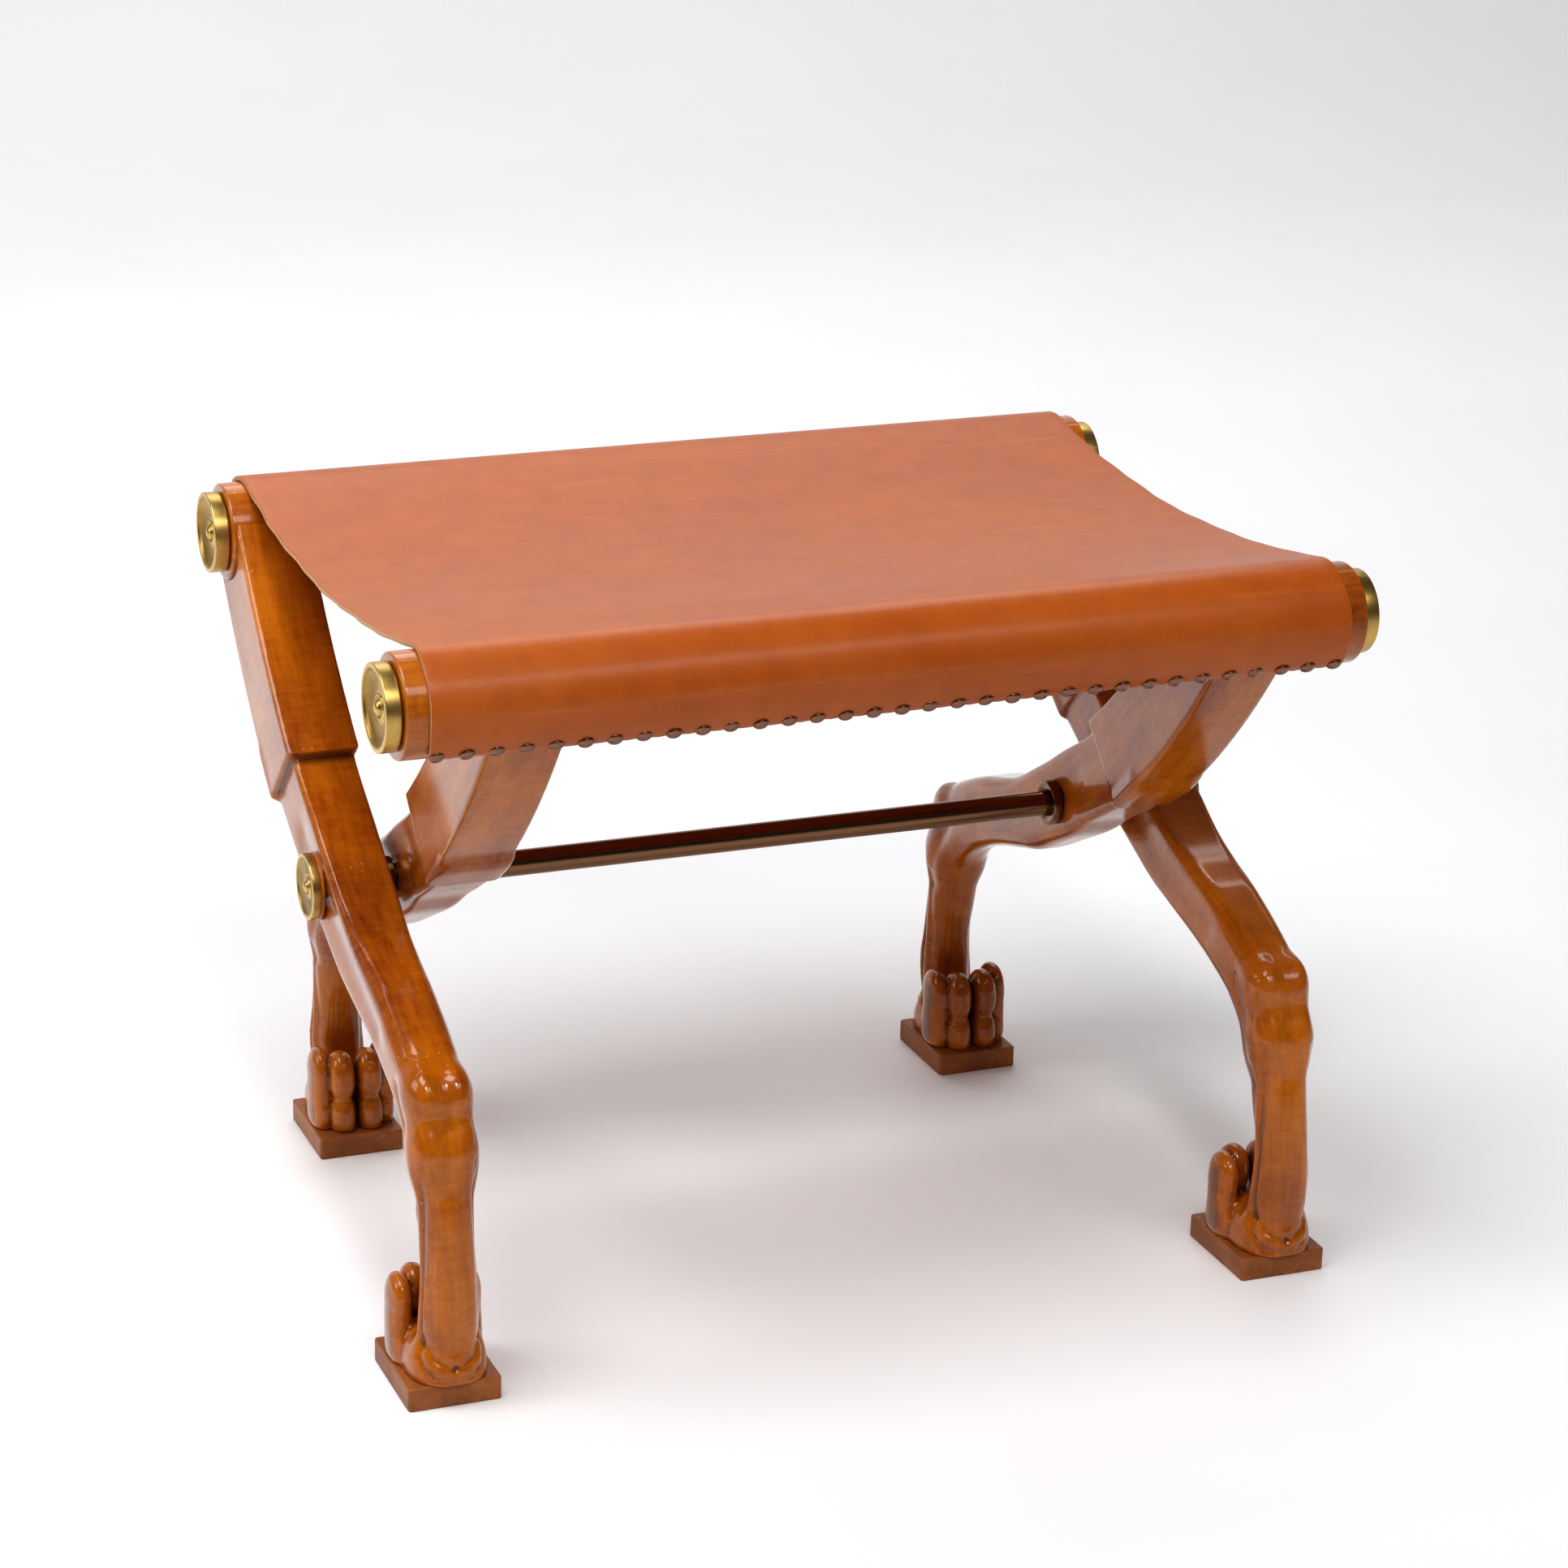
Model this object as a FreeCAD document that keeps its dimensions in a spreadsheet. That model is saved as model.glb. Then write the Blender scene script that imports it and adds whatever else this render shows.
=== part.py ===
import FreeCAD, Part
import math
import os
import Sketcher
from FreeCAD import Placement, Rotation, Vector

# Folding X stool with carved animal legs, a leather seat and turned rails.
# X runs along the rails, Y from the front rail to the back rail and Z up from the floor.
# Each outer leg runs from the back rail down to a front paw, each inner leg from the front rail to a back paw.

doc = FreeCAD.newDocument("x_frame_stool")
sheet = doc.addObject("Spreadsheet::Sheet", "Sizes")

SIZES = [
    ("rail_reach", 186.0, "distance from the pivot plane to a rail axis along Y"),
    ("rail_height", 413.0, "height of the rail axes"),
    ("rail_radius", 30.0, "radius of a rail"),
    ("rail_half", 290.0, "half length of a rail"),
    ("pivot_height", 243.5, "height of the pivot axis"),
    ("rail_overhang", 2.25, "length of a rail past the outside of an outer leg's block"),
    ("leg_gap", 7.5, "gap between an outer and an inner leg at the pivot"),
    ("leg_width", 38.5, "width of a carved leg along X"),
    ("leg_depth", 50.0, "depth of a carved leg at the pivot"),
    ("step_outside", 4.5, "step of the shoulder on the leg's outside"),
    ("step_inside", 2.0, "step of the shoulder on the leg's inside"),
    ("step_top", 8.0, "step of the shoulder on the upper face"),
    ("block_depth", 59.0, "depth of the upper block at the shoulder"),
    ("shoulder_run", 66.0, "distance of the shoulder from the pivot along Y"),
    ("shoulder_rise", 47.5, "height of the shoulder above the pivot"),
    ("block_bow", 5.5, "sag of the block's long faces below straight lines"),
    ("tenon_radius", 9.0, "radius of the tenon between a leg and its rail"),
    ("tenon_play", 0.1, "radial play of a tenon in its socket"),
    ("tenon_start", 8.0, "depth at which a tenon starts inside its block"),
    ("knee_reach", 178.0, "distance of the knee from the pivot plane"),
    ("knee_height", 165.0, "height of the knee"),
    ("knee_depth", 45.0, "depth of the knee"),
    ("shin_depth", 31.0, "depth of the shin"),
    ("shin_width", 34.0, "width of the shin"),
    ("paw_reach", 176.0, "distance of a paw's middle from the pivot plane"),
    ("paw_length", 66.0, "length of a paw from heel to toes"),
    ("paw_width", 51.0, "width of a paw over its toes"),
    ("paw_rise", 45.0, "height of the toes above the foot pad"),
    ("pad_width", 55.6, "width of a foot pad"),
    ("pad_length", 70.6, "length of a foot pad"),
    ("pad_height", 14.3, "thickness of a foot pad"),
    ("pad_chamfer", 1.6, "chamfer at the corners of a foot pad"),
    ("disc_radius", 25.0, "radius of a brass rail disc"),
    ("disc_thickness", 9.0, "thickness of a rail disc"),
    ("disc_gap", 1.0, "thickness of the spigot behind a rail disc"),
    ("disc_ring", 8.0, "radius of the raised ring on a rail disc"),
    ("pivot_disc_radius", 20.0, "radius of a brass pivot disc"),
    ("pivot_disc_thickness", 5.3, "thickness of a pivot disc"),
    ("pivot_disc_ring", 6.5, "radius of the raised ring on a pivot disc"),
    ("pivot_washer", 2.0, "thickness of the wooden washer under a pivot disc"),
    ("screw_head", 3.7, "radius of a domed screw head"),
    ("screw_radius", 2.2, "radius of a screw shank"),
    ("screw_length", 22.0, "length of a screw shank"),
    ("rod_radius", 7.9, "radius of the pivot rod"),
    ("running_gap", 0.05, "radial clearance of the rod in the inner legs"),
    ("collar_radius", 14.0, "radius of a collar on the rod"),
    ("collar_thickness", 6.0, "thickness of a collar"),
    ("face_gap", 0.3, "gap between faces that turn past each other"),
    ("seat_gap", 0.2, "gap between a carved leg and a washer or spacer beside it"),
    ("spacer_radius", 13.0, "radius of the spacer between two legs"),
    ("leather_thickness", 3.2, "thickness of the leather"),
    ("leather_inset", 13.0, "length of bare rail beyond the leather's edge"),
    ("leather_gap", 0.3, "gap between the leather and a rail"),
    ("leather_sag", 18.0, "depth of the seat's sag"),
    ("leather_tail", 50.0, "angle of the leather's edge below the rail axis, in degrees"),
    ("tack_angle", 44.0, "angle of the tacks below the rail axis, in degrees"),
    ("tack_radius", 4.6, "radius of a tack head"),
    ("tack_rise", 2.6, "height of a tack head"),
    ("tack_edge", 5.0, "distance of the last tack from the leather's edge"),
    ("tack_lift", 0.1, "gap under a tack head"),
]
WORKED_OUT = [
    ("leg_out", "=rail_half - rail_overhang - step_outside - leg_width / 2", "middle of an outer leg along X"),
    ("leg_in", "=leg_out - leg_width - leg_gap", "middle of an inner leg along X"),
    ("leather_half", "=rail_half - leather_inset", "half width of the leather along X"),
]
TACK_COUNT = 33

for row, (alias, size, meaning) in enumerate(SIZES + WORKED_OUT, start=1):
    sheet.set(f"A{row}", alias)
    sheet.set(f"B{row}", str(size))
    sheet.set(f"C{row}", meaning)
    sheet.setAlias(f"B{row}", alias)
doc.recompute()

nodes = {}


def size(alias):
    """Read a driving dimension from the sheet."""
    return float(sheet.get(alias))


def bind(thing, target, expression):
    """Tie a property of an object to the cells of the sheet."""
    thing.setExpression(target, expression)


def keep(thing, name):
    """List an object as a finished piece under its own name."""
    thing.Label = name
    nodes[name] = thing
    return thing


def sketch_on(body, role, name):
    """Start a sketch on one of the body's own origin planes."""
    sketch = body.newObject("Sketcher::SketchObject", name)
    plane = [part for part in body.Origin.OriginFeatures if part.Role == role][0]
    sketch.AttachmentSupport = [(plane, "")]
    sketch.MapMode = "FlatFace"
    return sketch


def cylinder(name, radius, length, placement):
    """Add a plain cylinder whose radius and length are tied to the sheet."""
    solid = doc.addObject("Part::Cylinder", name)
    bind(solid, "Radius", radius)
    bind(solid, "Height", length)
    solid.Placement = placement
    return solid


def cut(name, base, tool):
    """Cut one object out of another."""
    result = doc.addObject("Part::Cut", name)
    result.Base = base
    result.Tool = tool
    return result


def mirrored(name, source, normal):
    """Mirror an object through the middle of the stool."""
    result = doc.addObject("Part::Mirroring", name)
    result.Source = source
    result.Base = Vector(0, 0, 0)
    result.Normal = normal
    return result


ALONG_X = Rotation(Vector(0, 1, 0), 90)
LEFT_RIGHT = Vector(1, 0, 0)
FRONT_BACK = Vector(0, 1, 0)
FRONT = -1
BACK = 1
ROWS = ((FRONT, "front"), (BACK, "back"))
SIDES = ((-1, "left"), (1, "right"))


# Outline points of an outer leg, as Y and Z
rail_y = size("rail_reach")
rail_z = size("rail_height")
rail_r = size("rail_radius")
pivot_z = size("pivot_height")
shoulder = Vector(0, size("shoulder_run"), pivot_z + size("shoulder_rise"))
rail_axis = Vector(0, rail_y, rail_z)
block_way = (rail_axis - shoulder).normalize()
block_up = Vector(0, -block_way.z, block_way.y)


def on_rail(degrees):
    """A point on the back rail's circle, with the angle counted from the +Y side."""
    turn = math.radians(degrees)
    return rail_axis + Vector(0, math.cos(turn), math.sin(turn)) * rail_r


def bowed(start, end, bow):
    """The middle point of a long face that sags below the straight line."""
    return (start + end) * 0.5 - block_up * bow


FRONT_MEETS_RAIL = 150
BACK_MEETS_RAIL = -54


def upper_block():
    """The straight upper block of a leg, which ends in a saddle under the rail."""
    body = doc.addObject("PartDesign::Body", "upper_block")
    sketch = sketch_on(body, "YZ_Plane", "block_outline")
    half = size("block_depth") / 2
    top_low = shoulder + block_up * half
    back_low = shoulder - block_up * half
    top_high = on_rail(FRONT_MEETS_RAIL)
    back_high = on_rail(BACK_MEETS_RAIL)
    bow = size("block_bow")
    to_plane = [Vector(p.y, p.z, 0) for p in (
        top_low, bowed(top_low, top_high, bow), top_high,
        back_high, bowed(back_low, back_high, bow), back_low)]
    a, b, c, d, e, f = to_plane
    centre = Vector(rail_y, rail_z, 0)
    sketch.addGeometry(Part.Arc(a, b, c), False)
    sketch.addGeometry(Part.LineSegment(c, centre), False)
    sketch.addGeometry(Part.LineSegment(centre, d), False)
    sketch.addGeometry(Part.Arc(d, e, f), False)
    sketch.addGeometry(Part.LineSegment(f, a), False)
    pad = body.newObject("PartDesign::Pad", "block_pad")
    pad.Profile = sketch
    pad.Midplane = False
    bind(pad, "Length", "Sizes.leg_width + Sizes.step_outside + Sizes.step_inside")
    body.Tip = pad
    bind(body, "Placement.Base.x", "-Sizes.leg_width / 2 - Sizes.step_inside")
    return body


def rounded_section(centre, way, depth, width, corner):
    """A rectangle with round corners, square to the leg's way."""
    across = Vector(1, 0, 0)
    up = way.cross(across).normalize()
    corner = min(corner, depth / 2 - 0.4, width / 2 - 0.4)
    reach_x = width / 2
    reach_up = depth / 2
    edges = []
    for quarter in range(4):
        turn = math.radians(90 * quarter)
        side_x = 1 if quarter in (0, 3) else -1
        side_up = 1 if quarter in (0, 1) else -1
        hub = centre + across * side_x * (reach_x - corner) + up * side_up * (reach_up - corner)
        arc = [hub + (across * math.cos(turn + math.radians(lean)) + up * math.sin(turn + math.radians(lean))) * corner
               for lean in (0, 45, 90)]
        edges.append(Part.Arc(*arc).toShape())
    wire = []
    for index, arc in enumerate(edges):
        wire.append(arc)
        end = arc.valueAt(arc.LastParameter)
        following = edges[(index + 1) % 4]
        wire.append(Part.LineSegment(end, following.valueAt(following.FirstParameter)).toShape())
    return Part.Wire(wire)


def between(start, end, share, lift=0.0):
    """A point between two others, lifted in Z."""
    return start + (end - start) * share + Vector(0, 0, lift)


def way_at(degrees):
    """The direction down the leg, with the slope in degrees below level."""
    slope = math.radians(degrees)
    return Vector(0, -math.cos(slope), -math.sin(slope))


def carved_leg():
    """The carved lower leg: thigh, knee and shin as one loft down to the foot pad."""
    depth = size("leg_depth")
    width = size("leg_width")
    knee = Vector(0, -size("knee_reach"), size("knee_height"))
    pivot = Vector(0, 0, pivot_z)
    floor = size("pad_height")
    heel = -size("paw_reach") - size("paw_length") / 2
    shin_d = size("shin_depth")
    shin_w = size("shin_width")
    ankle = Vector(0, heel + shin_d / 2 + 2.5, floor + 26)
    start = shoulder - block_up * (size("step_top") / 2 - 1) + block_way * 6
    sections = [
        rounded_section(start, block_way * -1, depth + 0.5, width, 2.5),
        rounded_section(between(shoulder, pivot, 0.3, 0.5), way_at(42), depth, width, 3),
        rounded_section(pivot + Vector(0, -1, 1.5), way_at(33), depth, width, 4.5),
        rounded_section(between(pivot, knee, 0.34, -1), way_at(23), depth * 0.9, width * 0.99, 9),
        rounded_section(between(pivot, knee, 0.66, 6), way_at(17), depth * 0.86, width * 0.96, 13),
        rounded_section(between(pivot, knee, 0.88, 8), way_at(34), depth * 0.88, width * 0.96, 15),
        rounded_section(knee, way_at(60), size("knee_depth"), width * 0.97, 15),
        rounded_section(between(knee, ankle, 0.25), way_at(77), shin_d * 1.1, shin_w, 14),
        rounded_section(between(knee, ankle, 0.55), way_at(84), shin_d, shin_w, 14),
        rounded_section(between(knee, ankle, 0.85), way_at(89), shin_d * 1.04, shin_w * 1.03, 14),
        rounded_section(ankle + Vector(0, 1, -12), way_at(90), shin_d * 1.12, shin_w * 1.12, 14),
        rounded_section(Vector(0, ankle.y + 7, floor), way_at(90), shin_d, shin_w * 1.05, 13),
    ]
    solid = doc.addObject("Part::Feature", "carved_leg")
    solid.Shape = Part.makeLoft(sections, True, False)
    return solid


def level_section(height, heel, toe, width, corner, shift=0.0):
    """A level rounded rectangle from the heel side to the toe side."""
    middle = Vector(shift, (heel + toe) / 2, height)
    return rounded_section(middle, Vector(0, 0, -1), toe - heel, width, corner)


def paw():
    """The foot under the shin and four curled toes with a knuckle and a tip each."""
    floor = size("pad_height")
    rise = size("paw_rise")
    heel = -size("paw_reach") - size("paw_length") / 2
    toe = heel + size("paw_length")
    width = size("paw_width")
    sole = [
        level_section(floor, heel + 11, toe - 6, width - 7, 12),
        level_section(floor + rise * 0.3, heel + 4, toe - 7, width - 3, 14),
        level_section(floor + rise * 0.66, heel + 8, toe - 19, width - 8, 14),
    ]
    foot = doc.addObject("Part::Feature", "foot")
    foot.Shape = Part.makeLoft(sole, True, False)
    parts = [foot]
    toes = 4
    pitch = width / toes
    for index in range(toes):
        aside = (index - (toes - 1) / 2) * pitch
        outermost = index in (0, toes - 1)
        front = toe - (5 if outermost else 0)
        toe_sections = [
            level_section(floor, front - 20, front - 3, pitch - 1.6, 4.5, aside),
            level_section(floor + rise * 0.2, front - 22, front, pitch - 0.2, 5.5, aside),
            level_section(floor + rise * 0.44, front - 22, front - 3.2, pitch - 1.4, 5.2, aside),
            level_section(floor + rise * 0.68, front - 24, front - 0.8, pitch - 0.2, 5.5, aside),
            level_section(floor + rise * 0.9, front - 22, front - 5.5, pitch - 2.6, 4.6, aside),
            level_section(floor + rise, front - 17, front - 10.5, pitch - 7, 2.4, aside),
        ]
        part = doc.addObject("Part::Feature", f"toe_{index}")
        part.Shape = Part.makeLoft(toe_sections, True, False)
        parts.append(part)
    return parts


def tenon(name, radius, row, out):
    """The round tenon from a block's saddle into its rail, or the socket for it."""
    solid = doc.addObject("Part::Cylinder", name)
    bind(solid, "Radius", radius)
    bind(solid, "Height", "Sizes.rail_radius")
    way = Vector(0, row * block_way.y, block_way.z)
    foot = Vector(out, row * rail_y, rail_z) - way * (rail_r + size("tenon_start"))
    solid.Placement = Placement(foot, Rotation(Vector(0, 0, 1), way))
    return solid


def master_leg():
    """One whole leg in one piece of wood, in its own frame with its middle at X = 0."""
    rail_tool = cylinder("saddle_tool", "Sizes.rail_radius", "200 mm",
                         Placement(Vector(-100, rail_y, rail_z), ALONG_X))
    block = cut("saddled_block", upper_block(), rail_tool)
    whole = doc.addObject("Part::MultiFuse", "leg_blank")
    whole.Shapes = [block, carved_leg(), tenon("leg_tenon", "Sizes.tenon_radius", BACK, 0)] + paw()
    bore = cylinder("leg_bore", "Sizes.rod_radius + Sizes.running_gap", "200 mm",
                    Placement(Vector(-100, 0, pivot_z), ALONG_X))
    return cut("leg", whole, bore)


def four_legs(master):
    """Two outer legs and two inner legs, which are mirror images of each other."""
    bind(master, "Placement.Base.x", "Sizes.leg_out")
    keep(master, "outer_leg_right")
    keep(mirrored("outer_leg_left_mirror", master, LEFT_RIGHT), "outer_leg_left")
    swung = mirrored("inner_leg_right_mirror", master, FRONT_BACK)
    bind(swung, "Placement.Base.x", "Sizes.leg_in - Sizes.leg_out")
    keep(swung, "inner_leg_right")
    keep(mirrored("inner_leg_left_mirror", swung, LEFT_RIGHT), "inner_leg_left")


def rail(name, row, leg_place):
    """A round wooden rail with a socket for each tenon and a pilot hole for each end screw."""
    bar = cylinder(f"{name}_bar", "Sizes.rail_radius", "2 * Sizes.rail_half",
                   Placement(Vector(-size("rail_half"), row * rail_y, rail_z), ALONG_X))
    tools = []
    for side, label in SIDES:
        socket = tenon(f"{name}_socket_{label}", "Sizes.tenon_radius + Sizes.tenon_play", row, side * size(leg_place))
        end = Vector(side * size("rail_half"), row * rail_y, rail_z)
        pilot = cylinder(f"{name}_pilot_{label}", "Sizes.screw_radius",
                         "Sizes.screw_length - Sizes.disc_thickness / 2",
                         Placement(end, Rotation(Vector(0, 1, 0), -90 * side)))
        tools += [socket, pilot]
    holes = doc.addObject("Part::MultiFuse", f"{name}_holes")
    holes.Shapes = tools
    keep(cut(f"{name}_drilled", bar, holes), name)


def turned(name, outline):
    """A body turned about the X axis from an outline of points (distance out along X, radius)."""
    body = doc.addObject("PartDesign::Body", name)
    sketch = sketch_on(body, "XY_Plane", name + "_outline")
    points = [Vector(out, radius, 0) for out, radius in outline]
    for index, point in enumerate(points):
        following = points[(index + 1) % len(points)]
        sketch.addGeometry(Part.LineSegment(point, following), False)
        sketch.addConstraint(Sketcher.Constraint("DistanceX", index, 1, point.x))
        sketch.addConstraint(Sketcher.Constraint("DistanceY", index, 1, point.y))
    for index in range(len(points)):
        sketch.addConstraint(Sketcher.Constraint("Coincident", index, 2, (index + 1) % len(points), 1))
    turn = body.newObject("PartDesign::Revolution", name + "_turned")
    turn.Profile = sketch
    turn.ReferenceAxis = (sketch, ["H_Axis"])
    turn.Angle = 360
    body.Tip = turn
    return body


def facing(thing, out, y, z, side):
    """Set a turned body with its outer side towards the left or the right."""
    turn = Rotation() if side > 0 else Rotation(Vector(0, 0, 1), 180)
    thing.Placement = Placement(Vector(side * out, y, z), turn)


def disc_outline(radius, thickness, ring, bore):
    """A turned brass disc: flat rim, dished face and a raised ring round the screw."""
    rim = radius * 0.86
    return [
        (0, bore), (thickness * 0.62, bore), (thickness * 0.62, ring - 1.4), (thickness * 0.9, ring - 0.6),
        (thickness * 0.9, ring + 0.4), (thickness * 0.6, ring + 1.6), (thickness * 0.72, rim - 1.2),
        (thickness, rim), (thickness, radius - 0.6), (thickness - 0.6, radius), (0, radius),
    ]


def screw_outline(seat, head, shank, length):
    """A screw with a domed head: the head sits on the disc and the shank goes into the wood."""
    return [
        (seat - length, 0), (seat - length, shank), (seat, shank), (seat, head),
        (seat + head * 0.45, head * 0.86), (seat + head * 0.75, head * 0.5), (seat + head * 0.86, 0),
    ]


def rail_discs():
    """Four brass discs on the rail ends, each on a short spigot and held by a domed screw."""
    radius = size("disc_radius")
    thickness = size("disc_thickness")
    gap = size("disc_gap")
    face = disc_outline(radius, thickness, size("disc_ring"), size("screw_radius"))[1:-1]
    spigot = radius * 0.8
    outline = [(-gap, size("screw_radius"))] + face + [(0, radius), (0, spigot), (-gap, spigot)]
    seat = thickness * 0.62
    for row_side, row in ROWS:
        y = row_side * rail_y
        screws = []
        for side, label in SIDES:
            disc = turned(f"disc_{row}_{label}_body", outline)
            facing(disc, size("rail_half") + gap, y, rail_z, side)
            keep(disc, f"disc_{row}_{label}")
            screw = turned(f"screw_{row}_{label}", screw_outline(
                seat, size("screw_head"), size("screw_radius"), size("screw_length")))
            facing(screw, size("rail_half") + gap, y, rail_z, side)
            screws.append(screw)
        pair = doc.addObject("Part::Compound", f"rail_screws_{row}_pair")
        pair.Links = screws
        keep(pair, f"rail_screws_{row}")


def pivot_parts():
    """The rod with its collars, spacers, washers, discs and end screws."""
    outside = size("leg_out") + size("leg_width") / 2
    rod_end = outside + size("seat_gap") + size("pivot_washer")
    bar = cylinder("rod_bar", "Sizes.rod_radius",
                   "2 * (Sizes.leg_out + Sizes.leg_width / 2 + Sizes.seat_gap + Sizes.pivot_washer)",
                   Placement(Vector(-rod_end, 0, pivot_z), ALONG_X))
    taps = []
    discs = disc_outline(size("pivot_disc_radius"), size("pivot_disc_thickness"),
                         size("pivot_disc_ring"), size("screw_radius"))
    seat = size("pivot_disc_thickness") * 0.62
    screws = []
    washers = []
    spacers = []
    for side, label in SIDES:
        taps.append(cylinder(f"tap_{label}", "Sizes.screw_radius", "Sizes.screw_length",
                             Placement(Vector(side * rod_end, 0, pivot_z), Rotation(Vector(0, 1, 0), -90 * side))))
        disc = turned(f"pivot_disc_{label}_body", discs)
        facing(disc, rod_end, 0, pivot_z, side)
        keep(disc, f"pivot_disc_{label}")
        screw = turned(f"pivot_screw_{label}", screw_outline(
            seat, size("screw_head"), size("screw_radius"), size("screw_length")))
        facing(screw, rod_end, 0, pivot_z, side)
        screws.append(screw)
        bore = size("rod_radius")
        thick = size("pivot_washer")
        washer = turned(f"pivot_washer_{label}", [
            (0, bore), (thick, bore), (thick, size("pivot_disc_radius") + 0.6), (0, size("pivot_disc_radius") + 0.6)])
        facing(washer, outside + size("seat_gap"), 0, pivot_z, side)
        washers.append(washer)
        inner_face = size("leg_out") - size("leg_width") / 2 - size("seat_gap")
        spacer_thick = size("leg_gap") - size("seat_gap") - size("face_gap")
        spacer = turned(f"spacer_{label}", [
            (-spacer_thick, bore), (0, bore), (0, size("spacer_radius")), (-spacer_thick, size("spacer_radius"))])
        facing(spacer, inner_face, 0, pivot_z, side)
        spacers.append(spacer)
        collar_face = size("leg_in") - size("leg_width") / 2 - size("face_gap")
        thick = size("collar_thickness")
        wide = size("collar_radius")
        collar = turned(f"collar_{label}_body", [
            (-thick, bore), (0, bore), (0, wide - 0.6), (-0.6, wide), (0.8 - thick, wide), (-thick, wide - 0.8)])
        facing(collar, collar_face, 0, pivot_z, side)
        keep(collar, f"collar_{label}")
    tapped = doc.addObject("Part::MultiFuse", "rod_taps")
    tapped.Shapes = taps
    keep(cut("rod_tapped", bar, tapped), "pivot_rod")
    for group, name in ((screws, "pivot_screws"), (washers, "pivot_washers"), (spacers, "leg_spacers")):
        pair = doc.addObject("Part::Compound", name + "_pair")
        pair.Links = group
        keep(pair, name)


def foot_pads():
    """Four square wooden pads, one under each paw."""
    for row, out, y in (("front", "leg_out", -size("paw_reach")), ("back", "leg_in", size("paw_reach"))):
        for side, label in SIDES:
            blank = doc.addObject("Part::Box", f"pad_{row}_{label}_box")
            bind(blank, "Length", "Sizes.pad_width")
            bind(blank, "Width", "Sizes.pad_length")
            bind(blank, "Height", "Sizes.pad_height")
            blank.Placement.Base = Vector(side * size(out) - size("pad_width") / 2, y - size("pad_length") / 2, 0)
            doc.recompute()
            upright = [index for index, edge in enumerate(blank.Shape.Edges, start=1)
                       if abs(edge.tangentAt(edge.FirstParameter).z) > 0.9]
            eased = doc.addObject("Part::Chamfer", f"pad_{row}_{label}_eased")
            eased.Base = blank
            chamfer = size("pad_chamfer")
            eased.Edges = [(index, chamfer, chamfer) for index in upright]
            keep(eased, f"pad_{row}_{label}")


def arc(centre, radius, start, end):
    """An arc edge in the YZ plane between two angles, in degrees."""
    points = []
    for share in (0, 0.5, 1):
        turn = math.radians(start + (end - start) * share)
        points.append(Vector(0, centre.y + radius * math.cos(turn), centre.z + radius * math.sin(turn)))
    return Part.Arc(*points).toShape()


def leather_seat():
    """The leather in section: round the front rail, down into the sag and round the back rail."""
    inner = rail_r + size("leather_gap")
    outer = inner + size("leather_thickness")
    tail = size("leather_tail")
    sag = size("leather_sag")
    drop = outer - sag
    sag_radius = (rail_y ** 2 + drop ** 2 - outer ** 2) / (2 * sag)
    hub = Vector(0, 0, rail_z + drop + sag_radius)
    front = Vector(0, -rail_y, rail_z)
    back = Vector(0, rail_y, rail_z)
    lean = math.degrees(math.atan2(rail_y, hub.z - rail_z))
    edges = []
    for face, radius in (("top", outer), ("under", inner)):
        seat_radius = sag_radius if face == "top" else sag_radius + size("leather_thickness")
        pieces = [
            arc(front, radius, 180 + tail, 90 - lean),
            arc(hub, seat_radius, 270 - lean, 270 + lean),
            arc(back, radius, 90 + lean, -tail),
        ]
        edges.append(pieces)
    top, under = edges
    ends = []
    for index in (0, 2):
        at = 0 if index == 0 else 1
        ends.append(Part.LineSegment(top[index].Vertexes[at].Point, under[index].Vertexes[at].Point).toShape())
    section = Part.Face(Part.Wire(Part.__sortEdges__(top + under + ends)))
    section.translate(Vector(-size("leather_half"), 0, 0))
    solid = doc.addObject("Part::Feature", "leather")
    solid.Shape = section.extrude(Vector(2 * size("leather_half"), 0, 0))
    keep(solid, "leather_seat")


def tack_rows():
    """Two rows of domed tacks near the leather's edges, seated on the outside of the rails."""
    head = size("tack_radius")
    rise = size("tack_rise")
    dome = turned("tack_dome", [
        (0, 0), (0, head), (rise * 0.5, head * 0.85), (rise * 0.85, head * 0.5), (rise, 0)])
    doc.recompute()
    seat = rail_r + size("leather_gap") + size("leather_thickness") + size("tack_lift")
    pitch = 2 * (size("leather_half") - size("tack_edge")) / (TACK_COUNT - 1)
    angle = math.radians(size("tack_angle"))
    for side, row in ROWS:
        out = Vector(0, side * math.cos(angle), -math.sin(angle))
        axis = Vector(0, side * rail_y, rail_z)
        turn = Rotation(Vector(1, 0, 0), out)
        tacks = []
        for index in range(TACK_COUNT):
            tack = dome.Shape.copy()
            along = (index - (TACK_COUNT - 1) / 2) * pitch
            tack.Placement = Placement(axis + Vector(along, 0, 0) + out * seat, turn)
            tacks.append(tack)
        line = doc.addObject("Part::Feature", f"tack_row_{row}")
        line.Shape = Part.makeCompound(tacks)
        keep(line, f"tacks_{row}")


def check_document():
    """Stop on any object that failed, and on any piece that isn't a sound solid."""
    for thing in doc.Objects:
        if "Invalid" in thing.State or "Error" in thing.State:
            raise RuntimeError(f"{thing.Label} failed: {thing.State}")
    for name, thing in nodes.items():
        shape = thing.Shape
        if shape.isNull() or not shape.isValid() or not shape.Solids:
            raise RuntimeError(f"{name} has no sound solid")


four_legs(master_leg())
rail("back_rail", BACK, "leg_out")
rail("front_rail", FRONT, "leg_in")
rail_discs()
pivot_parts()
foot_pads()
leather_seat()
tack_rows()
doc.recompute()
check_document()

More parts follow.
